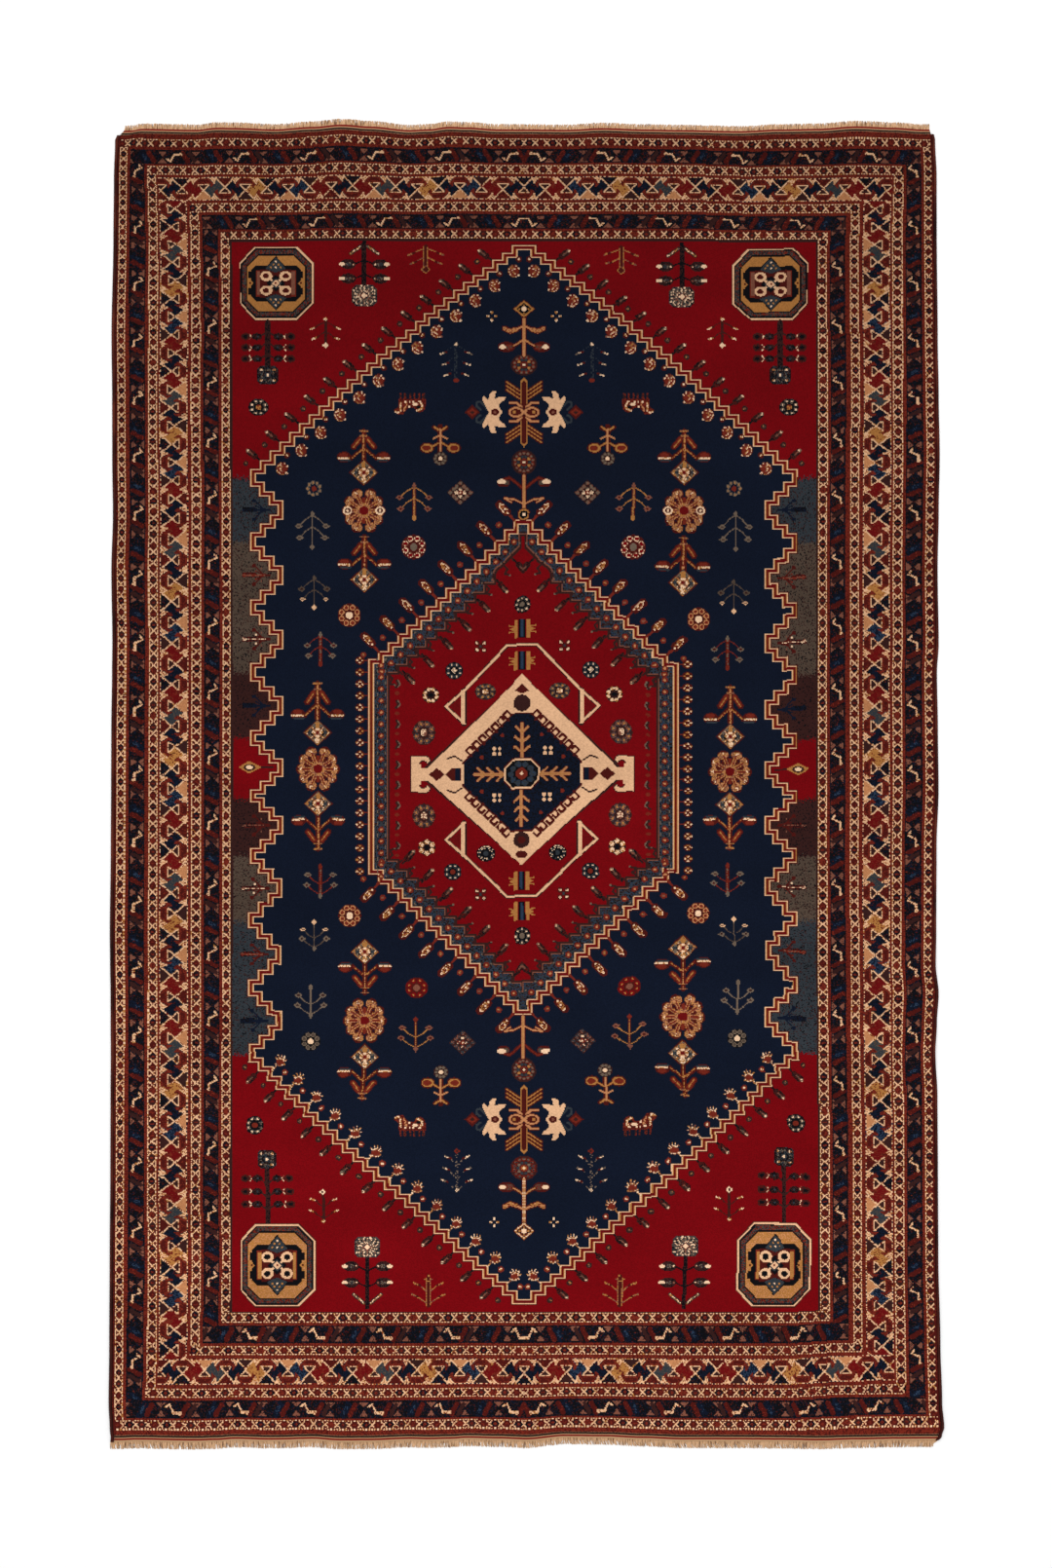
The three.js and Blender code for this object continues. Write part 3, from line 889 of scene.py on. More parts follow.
def draw_flowers(chart):
    """Round flowers of the field, and the small crosses and buttons beside them."""
    for flower in FLOWERS:
        rosette(chart, *flower)
    for row in (374.0, 473.9, 1097.5, 1198.5):
        middle = chart.at(AXIS, row)
        last = row > 1100
        for number, (x, y) in enumerate(around(10)):
            middle.oval(6.0 * x, 5.6 * y, 1.5, 1.4, (FAWN if last else TAN, SLATE)[number % 2])
        middle.oval(0, 0, 2.4, 2.2, TAN if last else BROWN, 1.2, 1.2, PEACH)
    great_rosette(chart.at(373.3, 523.6), eyes=True)
    great_rosette(chart.at(326.5, 788.7), eyes=False)
    great_rosette(chart.at(374.4, 1047.0), eyes=False)
    for column, row, wool, heart in ((472.3, 505.2, FAWN, PEACH), (474.6, 1069.7, SLATE, RUST)):
        middle = chart.at(column, row)
        middle.diamond(0, 0, 14, 13, BROWN)
        for x, y in around(12):
            reach = 10.4 / (abs(x) + abs(y))
            middle.oval(reach * x, 0.94 * reach * y, 2.0, 1.8, (wool, wool, ROSE))
        middle.dots(((-4, 0), (4, 0), (0, -3.8), (0, 3.8)), 2.0, 1.8, (heart, PEACH, wool))
        middle.oval(0, 0, 2.4, 2.4, RUST, 1.0, 1.0, PEACH)
    for middle in (chart.at(504.5, 324.2), chart.at(507.0, 1254.0)):
        middle.dots(((-3.8, 0), (3.8, 0)), 1.77, 1.2, (TAN, PEACH))
        middle.dots(((0, -3.8), (0, 3.8)), 1.2, 1.77, (TAN, PEACH))
    for middle in (chart.at(493.0, 663.0), chart.at(493.0, 917.5)):
        for x, y in ((-3.6, -3.4), (3.6, -3.4), (-3.6, 3.6), (3.4, 3.8)):
            middle.line([(0, 0), (x, y)], 3.2, MAROON)
            middle.oval(x, y, 2.8, 2.8, MAROON, 1.5, 1.4, (PEACH, PEACH, ROSE))
        middle.oval(0, 0, 1.3, 1.3, SLATE)


# Petals of the large flower, from its heart: the right half of each
GREAT_PETALS = ((6.8, -16.8, 4.7), (14.6, -9.6, 4.2), (16.6, 0.2, 4.6), (14.6, 9.6, 4.0), (6.8, 17.0, 4.7))


def great_rosette(chart, eyes):
    """Large flower of the side columns: ten tan petals on stalks around a deep red heart."""
    chart.oval(0, 0, 13, 13, MAROON)
    petals = [(side * x, y, size) for x, y, size in GREAT_PETALS for side in (-1, 1)]
    for x, y, size in petals:
        chart.line([(0, 0), (x, y)], 6.2, MAROON)
        chart.oval(x, y, size + 1.2, size + 1.2, MAROON)
    golden = (AMBER, TAN, ROSE)
    for x, y, size in petals:
        chart.line([(0, 0), (x, y)], 3.8, golden)
        for turn in (-0.11, 0.11):
            chart.oval(x + turn * y, y - turn * x, 0.76 * size, 0.76 * size, golden)
        chart.line([(0.45 * x, 0.45 * y), (0.95 * x, 0.95 * y)], 1.4, RUST)
        chart.oval(1.08 * x, 1.08 * y, 1.7, 1.7, PINKISH)
    if eyes:
        for half in chart.sides():
            half.oval(16.6, 0, 4.8, 4.2, PEACH, 3.2, 2.8, MAROON, 1.3, 1.3, PEACH)
    chart.dots(((0, -10.5), (0, 10.5)), 2.0, 3.4, RUST)
    chart.oval(0, 0, 7.2, 7.2, golden, 4.8, 4.4, RED)


class CornerOctagon(NamedTuple):
    """Octagon in a corner of the field, its hanging or standing plant's flower, and its half sizes."""

    column: float
    row: float
    across: float
    along: float
    up: int


OCTAGONS = [CornerOctagon(*row) for row in (
    (283.3, 290.2, 38.6, 37.4, 1), (284.8, 1298.2, 38.9, 42.2, -1),
)]


def draw_octagons(chart):
    """Corner octagons with their shields and ram's horns, and the plants that hang or stand beyond them."""
    for one in OCTAGONS:
        far = one.up > 0
        tall = one.along / 37.4
        middle = chart.at(one.column, one.row)
        mottled = (RUST, BROWN, OLIVE, SLATE)
        gold = TAN if far else (TAN, TAN, AMBER)
        for rim, wool in ((-1.2, MAROON), (0, IVORY), (1.6, INK), (3.4, mottled), (7.4, INK), (8.8, gold)):
            middle.octagon(one.across - rim, one.along - rim, 17 - 0.55 * rim, wool)
        middle.octagon(25.5, 18.5 * tall, 5, INK)
        shield = middle.at(0, 0, 1, tall)
        shield.block(-28, 28, -12, -5, INK)
        shield.block(-28, 28, 5, 12, INK)
        shield.block(-20.5, 20.5, -13.5, 13.5, RUST)
        shield.block(-19.5, 19.5, -12, 12, ROSE if far else TAN)
        shield.block(-16, 16, -14.5, 14.5, MAROON)
        for end in shield.ends():
            for size, wool in ((12.0, INK), (10.6, SLATE)):
                end.fill([(-size, 15), (0, 16 + size), (size, 15), (0, 11)], wool)
            end.dots(((-5, 16.5), (5, 16.5), (-2.6, 19.5), (2.6, 19.5)), 1.0, 1.0, TAN)
            end.dots(((0, 16.4), (0, 22.4)), 1.0, 1.0, PEACH)
        for half in middle.sides():
            half.diamond(26, 0, 3.2, 3.6, TAN)
            half.oval(26, 0, 1.1, 1.1, MAROON)
        middle.diamond(0, 0, 10, 8.6 * tall, INK)
        for quarter in middle.quarters():
            quarter.oval(9.8, 7.4 * tall, 6.2, 5.0 * tall, IVORY)
            quarter.line([(9, 6.6), (3.5, 2.6)], 2.4, IVORY)
            quarter.oval(10.2, 7.6 * tall, 3.3, 2.6 * tall, MAROON if far else INK)
        middle.diamond(0, 0, 6.0, 5.4 * tall, SLATE, 4.4, 3.8 * tall, IVORY)
        middle.oval(0, 0, 1.2, 1.2, RUST)

        root = middle.at(-8.3 if far else -9.6, one.up * one.along, 1, one.up)
        reach = 1.0 if far else 1.17
        root.line([(0, 2), (0, 50 * reach)], 5.0, (INK, BROWN, BROWN))
        for leaf in (17.4, 28.6, 40.2):
            for half in root.at(0, leaf * reach).sides():
                half.line([(0, -5 * reach), (8, 0)], 1.8, BROWN)
                half.oval(10.8, 0, 5.2, 3.6, (INK, BROWN))
                half.oval(10.4, 0, 1.2, 1.1, SLATE)
                half.oval(23.2, 0, 5.0, 3.8, (BROWN, MAROON))
                half.oval(23.6, 0, 2.4, 1.8, INK)
                half.line([(18.5, -2.8), (16.5, 0), (18.5, 2.8)], 1.1, ROSY)
        flower = root.at(0, 57 * reach, 1, one.up)
        flower.octagon(10.6, 9.2, 3, DUSKY)
        rosette(flower, 0, 0, 9.6, 8.4, 12, GREYISH, SLATE)
        flower.oval(0, 0, 1.5, 1.5, PEACH)
        for quarter in flower.quarters():
            quarter.oval(6.2, 5.6, 1.6, 1.3, PINKISH)


class CornerPlant(NamedTuple):
    """Plant on the field's end edge beside a corner octagon: its foot and its flower."""

    column: float
    foot: float
    flower: float


CORNER_PLANTS = [CornerPlant(*row) for row in (
    (373.9, 248.6, 303.0), (377.0, 1341.0, 1279.4),
)]


def draw_corner_plants(chart):
    """Plants beside the corner octagons, their places along the stem given in shares of its length."""
    for plant in CORNER_PLANTS:
        foot = chart.at(plant.column, plant.foot, 1, plant.flower - plant.foot)
        foot.line([(0, 0), (0, 1)], 4.8, (INK, INK, BROWN))
        for half in foot.sides():
            half.line([(3.4, 0.07), (14, 0.21)], 4.0, BROWN, 1.7, (TAN, FAWN, PEACH))
            for level in (0.41, 0.68):
                leaf = half.at(0, level)
                leaf.line([(0, -0.08), (10, 0)], 1.7, INK)
                leaf.line([(9, 0), (25, 0)], 1.4, INK)
                leaf.oval(16.5, 0, 8.0, 5.2, (INK, BROWN, BROWN))
                leaf.oval(16, 0, 3.0, 2.0, (SLATE, BROWN, FAWN))
                leaf.oval(23, 0, 3.4, 1.7, PEACH)
                leaf.oval(11.2, 0, 1.2, 1.1, (ROSE, PEACH))
        flower = chart.at(plant.column, plant.flower)
        flower.octagon(12.8, 10.8, 4, (OLIVE, INK, SLATE))
        petal = (FAWN, FAWN, PEACH, ROSE)
        for x, y in around(14, 0.5):
            flower.line([(4.6 * x, 4.0 * y), (10.6 * x, 9.0 * y)], 1.9, petal)
        for x, y in ((7.8, 8.4), (11.0, 5.2), (3.0, 9.6)):
            flower.dots(((-x, -y), (x, -y), (-x, y), (x, y)), 1.3, 1.1, (PEACH, FAWN))
        flower.oval(0, 0, 4.0, 3.6, (INK, SLATE))
        flower.diamond(0, 0, 4.2, 3.8, RUST, 3.2, 2.9, PEACH)


def draw_small_trees(chart):
    """Little trees of two leaves, and the four-legged animals, one of each towards both ends."""
    for column, row, up in ((451.8, 470.3, 1), (452.4, 1100.0, -1)):
        crown = chart.at(column, row, 1, up)
        crown.line([(0, -33), (0, 0)], 5.0, MAROON)
        for half in crown.sides():
            half.oval(13.5, -11, 7.4, 5.6, MAROON)
            half.line([(0, -17), (9, -12)], 3.2, MAROON)
            half.line([(0, -28), (6.5, -32)], 4.0, MAROON)
            half.oval(13.5, -11, 6.2, 4.4, TAN)
            half.oval(14.2, -11, 4.4, 2.8, RUST)
            half.line([(0, -17), (9, -12)], 1.5, TAN)
            half.line([(0, -24), (7, -20.5)], 1.7, AMBER)
            half.line([(0, -28), (6, -32.5)], 1.9, TAN)
        crown.line([(0, -30), (0, 0)], 2.0, AMBER)
        rosette(chart, column, row, 7.4, 7.0, 9, FAWN, PEACH, BROWN)
    draw_animal(chart.at(404.0, 416.0, 1, -1))
    draw_animal(chart.at(404.0, 1153.0))


# Outline of the four-legged animal, and how far each leg stands from its snout
ANIMAL = (
    (0, -4), (1, -7), (5, -9), (10, -8.5), (13, -4), (16, -2), (21, -2), (23, -6), (27, -7), (31, -5),
    (33, 0), (33, 7), (5, 7), (5, -1), (2, -3),
)
ANIMAL_LEGS = (7, 11.5, 17, 21, 26, 30.5)


def draw_animal(chart):
    """Animal with a striped coat and its tail curled over its back, from the height of its snout."""
    for leg in ANIMAL_LEGS:
        chart.line([(leg, 6), (leg, 12)], 2.6, (RUST, BROWN, BROWN))
    chart.fill(ANIMAL, (MAROON, RUST))
    chart.line([(1.5, -6), (5, -7)], 1.8, (TAN, PEACH))
    chart.line([(7, -5), (7.5, 3)], 2.0, (TAN, PEACH))
    chart.line([(11, -5), (13, 3)], 2.6, (RUST, AMBER))
    chart.line([(24, -5), (28, -3.5), (29.5, 0), (27, 4)], 2.0, (TAN, PEACH))
    chart.oval(22, 1.5, 3.0, 1.7, PEACH)
    chart.oval(25.5, -1.5, 2.2, 1.6, INK)
    chart.dots(((12, 4), (16, -1), (16.5, 4), (20, 4), (26, 4.5)), 0.9, 0.9, PEACH)


def draw_side_twigs(chart):
    """A twig lying across each side lobe, and a pale lozenge flower in the red one."""
    wools = (NAVY, RUST, PEACH, NAVY, IVORY, BROWN, PEACH, RUST, NAVY)
    for narrow, following, wool in zip(NARROWS, NARROWS[1:], wools):
        lobe = chart.at(0, (narrow.near + following.far) / 2)
        if wool == IVORY:
            lobe.line([(262, 0), (280, 0)], 1.8, BROWN)
            lobe.diamond(256, 0, 13, 6.5, TAN)
            lobe.oval(256, 0, 6.6, 3.6, BROWN, 4.4, 1.9, PEACH)
            continue
        dark = NAVY if wool == NAVY else MAROON
        lobe.line([(249, 0), (262, 0)], 5.0, (dark, INK))
        lobe.line([(262, 0), (277, 0)], 2.6, dark)
        for end in lobe.ends():
            end.line([(275, 0), (269, 2), (262, 9)], 1.4, dark)
            end.line([(270, 1), (263, 4)], 1.4, dark)
            end.oval(261, 9.5, 2.2, 2.0, dark)
            if wool != NAVY:
                end.oval(263, 4.4, 1.1, 0.9, wool)
                end.oval(268.5, 6.5, 1.0, 0.9, ROSE)
        if wool != NAVY:
            lobe.line([(248, 0), (272, 0)], 1.3, (wool, ROSE))
            lobe.oval(250, 0, 2.2, 1.8, (wool, ROSE))


# Outline of one half of the ivory crowns, from the cross's middle row outwards
CROWN = (
    (501.7, 0), (498.6, 5.1), (495.1, 12.3), (494.9, 15.5), (496.3, 16.4), (501.1, 11.9), (502.2, 18.5),
    (504.5, 21.0), (509.2, 21.9), (507.4, 15.1), (507.9, 13.8), (512.9, 15.8), (519.0, 15.3), (517.9, 12.7),
    (512.9, 9.4), (511.7, 5.6), (515.2, 0),
)


def draw_axis(chart):
    """Tall motifs on the rug's long axis: stems, leaves and two crossed shafts with their ivory crowns."""
    for row, foot, up, curl, to_leaf in ((316.6, 47.4, 1, 18, 39), (1263.0, 53, -1, 23, 45)):
        tip = chart.at(AXIS, row, 1, up)
        stem, pale, eye = (
            (AMBER, TAN, INK) if up > 0 else ((AMBER, PEACH), (PEACH, TAN), (RUST, BROWN))
        )
        tip.line([(0, 0), (0, foot)], 5.4, MAROON)
        swoosh = [(0, curl - 1), (-8, curl + 3), (-14, curl + 5), (-20, curl + 2)]
        tip.line(swoosh, 4.6, MAROON)
        tip.line(swoosh[1:], 6.0, MAROON)
        tip.line(swoosh, 1.8, AMBER)
        tip.line(swoosh[1:], 4.0, (AMBER, TAN, RUST))
        leaf = tip.at(0, to_leaf)
        leaf.oval(-18, 0, 9.0, 5.4, MAROON)
        leaf.oval(-15.5, 0, 4.6, 3.0, (OLIVE, RUST))
        leaf.line([(-11, -1), (-7, -3), (0, -8)], 3.6, MAROON, 1.6, (TAN, AMBER))
        leaf.oval(-22, 0, 3.4, 2.3, PEACH)
        tip.line([(0, 0), (0, foot)], 3.2, stem)
        tip.line([(0, 0), (0, foot - 6)], 1.0, TAN)
        tip.diamond(0, 0, 11.5, 9.8, MAROON, 10.4, 8.6, pale, 8.0, 6.4, eye)
        tip.oval(0, 0, 2.6, 2.6, PEACH)
        tip.dots(((-4.6, 0), (4.6, 0), (0, -4), (0, 4)), 1.0, 1.0, TAN)
    for row in (422.6, 1148.5):
        middle = chart.at(AXIS, row)
        for end in middle.ends():
            for width, wool in ((3.6, MAROON), (1.2, TAN)):
                for root in (22, 18, 14):
                    end.line([(-4.5, root), (-17.8, root + 9)], width, wool)
            end.fill([(-4, 6), (-4, 31), (0, 36), (4, 31), (4, 6)], TAN)
            end.line([(0, 6), (0, 30)], 4.4, MAROON)
            end.line([(-2.5, 5), (-7, 9.3), (-14, 9.5)], 4.0, MAROON, 2.4, AMBER)
        middle.oval(-8, 0, 8.6, 6.4, MAROON, 7.6, 5.4, AMBER)
        middle.oval(-8.4, 0, 5.6, 3.4, MAROON)
        middle.oval(-10, 0, 1.8, 1.4, TAN)
        middle.oval(0, 0, 1.8, 1.6, AMBER)
        crown = chart.at(0, row)
        for end in crown.ends():
            end.line([(500, 3), (493, 11), (489.5, 10), (489, 6), (493, 3)], 2.2, SLATE)
            end.fill(CROWN, IVORY)
        crown.diamond(484.5, 0, 8.0, 7.2, MAROON, 5.4, 4.6, RUST, 2.2, 2.0, BROWN)
        crown.oval(507.8, 0, 4.2, 3.4, MAROON, 1.4, 1.2, ROSE)
    for row, foot, up in ((493.9, 32.1, 1), (1078.5, 35.5, -1)):
        top = chart.at(AXIS, row, 1, up)
        stalk = [(0, 8), (-8, 1), (-15, -4), (-24, -1)]
        top.line([(0, foot), (0, -6)], 5.0, MAROON)
        top.line(stalk, 3.4, MAROON)
        top.oval(-21, 1, 6.6, 4.6, MAROON)
        top.line(stalk, 1.3, RUST)
        top.oval(-18, 1, 3.0, 2.4, OLIVE)
        top.oval(-23, 0, 4.4, 2.5, PEACH)
        top.at(0, foot).line([(0, -9), (-10, -14), (-20, -15), (-13, -11)], 3.4, MAROON, 1.6, AMBER)
        top.line([(0, foot), (0, -6)], 3.0, AMBER)
        top.line([(0, foot), (0, -4)], 1.0, TAN)
    chart.oval(AXIS, 527.6, 7.0, 6.6, MAROON, 6.0, 5.6, TAN, 4.6, 4.2, INK, 2.0, 2.0, PEACH)


# Medallion: rows measured from its middle row
MEDALLION_ROW = 790.5


def draw_medallion(chart):
    """Inside of the medallion: hooked bars, a thin octagon line and the ivory diamond with ram's horns."""
    for row in (645.5, 678.5, 904.5, 936.0):
        bar = chart.at(AXIS, row)
        bar.block(-3, 3, -9.5, 9.5, INK)
        bar.block(-1.6, 1.6, -9, 9, BLUE)
        bar.block(-8, -4.4, -9.5, 9.5, TAN)
        bar.fill([(-4.5, -4), (-14, 0), (-4.5, 4)], TAN)
        for end in bar.ends():
            end.line([(-7, 2.1), (-14, 3.5)], 1.3, TAN)
    for row, down, far in ((724.8, 1, -62.8), (861.5, -1, -58.5)):
        point = chart.at(0, row, 1, down)
        thin = [(AXIS + 1, far), (AXIS - 16.5, far), (476.5, -16.5), (457.5, 0), (476.5, 17.5)]
        point.line(thin, 4.2, BROWN)
        point.line([(476, -16.5), (476, 17.5)], 5.6, BROWN)
        point.line(thin, 2.4, IVORY)
        point.line([(475.2, -15.5), (475.2, 16.5)], 3.8, IVORY)
        point.fill([(462, 0), (471.6, -8.5), (471.6, 8.5)], RED)

    middle = chart.at(0, MEDALLION_ROW)
    diamond = [(AXIS, -98.5), (438, -2), (438, 9), (AXIS, 98)]
    rim = [(x - 1.6 if x < AXIS else x + 2, y + (2 if y > 0 else -2)) for x, y in diamond]
    middle.fill([*rim, (AXIS + 3, 0)], BROWN)
    middle.fill([*diamond, (AXIS + 2, 98), (AXIS + 2, -98.5)], IVORY)
    horns = middle.at(0, 4)
    for end in horns.ends():
        end.oval(434.0, 14.6, 8.2, 5.4, BROWN)
    horns.block(421, 431, -19, 19, BROWN)
    horns.block(422, 430, -18, 18, IVORY)
    horns.block(428, 446, -6.2, 6.2, IVORY)
    for end in horns.ends():
        end.oval(433.4, 14.6, 7.4, 4.4, IVORY)
        end.oval(434.4, 11.2, 4.2, 3.2, BROWN)
        end.oval(434.4, 10.8, 3.4, 2.4, CRIMSON)
        end.oval(430.6, 8.6, 1.5, 2.4, IVORY)
        end.line([(459, 16), (466, 19), (474, 14)], 1.8, BROWN)
    inner = [(475.5, -7), (475.5, 15), (480.5, 20.5), (AXIS - 11, 62), (AXIS + 2, 62)]
    inner = [(AXIS + 2, -57), (AXIS - 10, -57), (480.5, -13), *inner]
    middle.line(inner, 3.0, MAROON)
    middle.fill(inner, (NAVY, NAVY, INK))
    horns.diamond(448.2, 0, 8, 7, MAROON)
    horns.fill([(457, 0), (464, -7), (473, -6.5), (473, 6.5), (464, 7)], MAROON)
    horns.block(467, 472.5, -6.5, 6.5, NAVY)
    horns.block(474.2, 475.8, -10, 10, IVORY)
    middle.fill([(530, -81), (AXIS, -89), (AXIS + 3, -89), (AXIS + 3, -79), (AXIS, -78)], MAROON)
    middle.oval(AXIS, -68.5, 9, 8.6, BROWN)
    middle.oval(AXIS, 72, 9, 8.4, BROWN, 4.4, 3.6, MAROON)
    middle.oval(AXIS, 87, 6.2, 4.0, MAROON)
    for column, row, down in ((483.5, -15, -1), (482.5, 22, 1)):
        for hook in range(7):
            step = middle.at(column + 6.5 * hook, row + down * 6.1 * hook, 1, down)
            step.line([(0, 0), (-5.4, 5.6), (-1.4, 9.6), (1.8, 6.6)], 2.6, MAROON)

    heart = horns.at(AXIS, 0)
    for width, wool in ((4.6, MAROON), (3.0, AMBER), (1.0, TAN)):
        heart.line([(0, -51), (0, 53)], width, wool)
        heart.line([(-50.5, 0), (0, 0)], width, wool)
        for step in (22, 32, 42):
            for end in heart.ends():
                end.line([(0, step), (0.08 * step - 9.5, step + 6.0)], 0.75 * width, wool)
                end.line([(2 - step, 0), (-step - 5.6, 6.2)], 0.75 * width, wool)
    for across, along, cut, wool in ((20.0, 16.6, 9, MAROON), (19.2, 15.8, 9, IVORY), (17.2, 13.9, 8, INK)):
        heart.octagon(across, along, cut, wool)
    for x, y in around(10):
        heart.oval(12.0 * x, 9.8 * y, 3.4, 3.0, (SLATE, SLATE, BLUE))
    heart.oval(0, 0, 6.4, 6.2, RUST, 2.0, 2.0, PEACH)
    for end in heart.ends():
        for quarter in end.at(-27.5, 23.8).quarters():
            quarter.oval(2.9, 2.7, 2.1, 2.0, IVORY)
        end.oval(-21, 40, 2.0, 2.0, RUST)
        end.oval(-43.2, 17.5, 2.2, 2.2, RUST)


class Drift(NamedTuple):
    """Stretch of the rug where the weaver ran ahead or behind: its middle, how far it reaches across and
    along, and how many knots the pattern there lies further left and up."""

    column: float
    row: float
    across: float
    along: float
    left: float
    up: float


FIELD_DRIFTS = [Drift(*row) for row in (
    (605, 810, 105, 330, 3.2, 1.0), (590, 862, 75, 95, 1.4, 0.0), (745, 682, 115, 165, 0.4, -4.2),
    (745, 1080, 115, 240, 0.0, 3.2), (765, 992, 90, 60, -0.6, 2.2), (745, 1235, 120, 150, -5.0, 0.0),
    (715, 275, 110, 60, 2.4, -1.6), (335, 1162, 75, 75, 3.6, 0.6), (262, 985, 45, 110, 2.2, 0.6),
    (635, 1080, 80, 75, 1.4, 2.0),
)]
BORDER_DRIFTS = [Drift(*row) for row in (
    (190, 830, 68, 720, -3.0, 0.0), (222, 830, 36, 720, -2.2, 0.0), (195, 290, 65, 110, -1.6, 0.0),
    (195, 1345, 65, 120, -1.8, 0.0), (880, 690, 72, 520, 2.8, 0.0), (875, 270, 62, 90, 2.0, 0.0),
    (230, 190, 130, 80, 0.0, -1.0), (850, 190, 150, 80, 0.0, -2.0), (925, 1395, 120, 95, 0.0, 3.6),
)]


def let_drift(chart, drifts):
    """Moves the knots by smooth bumps: each drift's own move times (1 - u^4)^2 (1 - v^4)^2, where u and v are
    the distances from its middle over its reaches, at most 1."""
    down, across = np.indices(chart.knots.shape).astype(float)
    for drift in drifts:
        u = np.minimum(np.abs(chart.columns - drift.column) / drift.across, 1)
        v = np.minimum(np.abs(chart.rows - drift.row) / drift.along, 1)
        bump = (1 - u**4) ** 2 * (1 - v**4) ** 2
        across += drift.left * bump
        down += drift.up * bump
    last_row, last_column = np.array(chart.knots.shape) - 1
    down = np.clip(np.rint(down), 0, last_row).astype(int)
    across = np.clip(np.rint(across), 0, last_column).astype(int)
    chart.knots = chart.knots[down, across]


def drawn_chart():
    """The whole chart: the field's left half, turned over for its right half and let drift, and the border
    around it."""
    chart = KnotChart(KNOT_COLUMNS, KNOT_ROWS, CRIMSON, FIRST_COLUMN, FIRST_ROW)
    for draw in (
        draw_field, draw_edge_buds, draw_side_twigs, draw_octagons, draw_corner_plants, draw_twigs,
        draw_plants, draw_flowers, draw_small_trees, draw_axis, draw_medallion,
    ):
        draw(chart)
    chart.turn_over(FIELD_EDGE, FIELD_FAR_ROW, FIELD_NEAR_ROW)
    let_drift(chart, FIELD_DRIFTS)
    inner = BANDS[-1]
    field = chart.part(inner.left, inner.right, inner.far, inner.near)[0].copy()
    draw_border(chart)
    chart.part(inner.left, inner.right, inner.far, inner.near)[0][:] = field
    let_drift(chart, BORDER_DRIFTS)
    return chart.knots


def eased(table, column, at):
    """Value of a table's column at places between its rows: v0 + s^2 (3 - 2 s) (v1 - v0), s from 0 to 1."""
    places = np.array([row.at for row in table]) * MM
    values = np.array([getattr(row, column) for row in table]) * MM
    after = np.clip(np.searchsorted(places, at, side="right"), 1, len(places) - 1)
    share = np.clip((at - places[after - 1]) / (places[after] - places[after - 1]), 0, 1)
    return values[after - 1] + share**2 * (3 - 2 * share) * (values[after] - values[after - 1])


def felt(distance):
    """Share of an edge's wandering that is felt further in: exp(-distance / reach)."""
    return np.exp(-np.maximum(distance, 0) / WANDER_REACH)


def laid(x, y, z):
    """Places on the straight-edged rug, moved to where they lie: each edge's wandering fades inwards,
    and the ripples lift the cloth by rise (1 + cos(pi dx / across)) (1 + cos(pi dy / along)) / 4."""
    right = eased(SIDE_WANDER, "right", y) * felt(HALF_WIDTH - x)
    left = eased(SIDE_WANDER, "left", y) * felt(HALF_WIDTH + x)
    far = eased(END_WANDER, "far", x) * felt(HALF_LENGTH - y)
    near = eased(END_WANDER, "near", x) * felt(HALF_LENGTH + y)
    height = np.zeros(np.broadcast(x, y).shape)
    for ripple in RIPPLES:
        across = np.minimum(np.abs(x - ripple.x * MM) / (ripple.across * MM), 1)
        along = np.minimum(np.abs(y - ripple.y * MM) / (ripple.along * MM), 1)
        height += ripple.rise * MM * (1 + np.cos(np.pi * across)) * (1 + np.cos(np.pi * along)) / 4
    places = np.broadcast_arrays(x + right - left + MIDDLE_X, y + far - near + MIDDLE_Y, z + height)
    return np.stack(places, axis=-1)


def grid_faces(rows, columns, first=0):
    """Four corners of every cell of a grid of points, row by row, turned so that rows x columns faces up."""
    corner = first + np.arange(rows - 1)[:, None] * columns + np.arange(columns - 1)[None, :]
    return np.stack([corner, corner + columns, corner + columns + 1, corner + 1], axis=-1).reshape(-1, 4)


def mesh_piece(name, points, faces, sharp_over=math.radians(35)):
    """Object at the origin from arrays of points and four-cornered faces."""
    mesh = bpy.data.meshes.new(name)
    mesh.vertices.add(len(points))
    mesh.vertices.foreach_set("co", np.asarray(points, np.float32).ravel())
    mesh.loops.add(faces.size)
    mesh.loops.foreach_set("vertex_index", np.asarray(faces, np.int32).ravel())
    mesh.polygons.add(len(faces))
    mesh.polygons.foreach_set("loop_start", np.arange(0, faces.size, 4, dtype=np.int32))
    mesh.update(calc_edges=True)
    mesh.shade_smooth()
    mesh.set_sharp_from_angle(angle=sharp_over)
    piece = bpy.data.objects.new(name, mesh)
    bpy.context.scene.collection.objects.link(piece)
    return piece


def add_uv(piece, name, corners):
    """UV map from an array of one pair for each face corner."""
    layer = piece.data.uv_layers.new(name=name)
    layer.uv.foreach_set("vector", np.asarray(corners, np.float32).ravel())


def add_node(tree, kind, inputs=None, **settings):
    """Adds a shader node with its settings. An input is given by name or number, as a value,
    a socket or a node."""
    node = tree.nodes.new("ShaderNode" + kind)
    for name, value in settings.items():
        setattr(node, name, value)
    for name, value in (inputs or {}).items():
        if isinstance(value, bpy.types.Node):
            value = value.outputs[0]
        if isinstance(value, bpy.types.NodeSocket):
            tree.links.new(value, node.inputs[name])
        else:
            node.inputs[name].default_value = value
    return node


def new_material(name):
    """Material with an empty node tree, and the function that adds nodes to it."""
    material = bpy.data.materials.new(name)
    material.use_nodes = True
    material.node_tree.nodes.clear()
    return material, functools.partial(add_node, material.node_tree)


def finish_material(add, inputs):
    """The surface shader with its inputs, joined to the material's output."""
    add("OutputMaterial", {"Surface": add("BsdfPrincipled", inputs)})


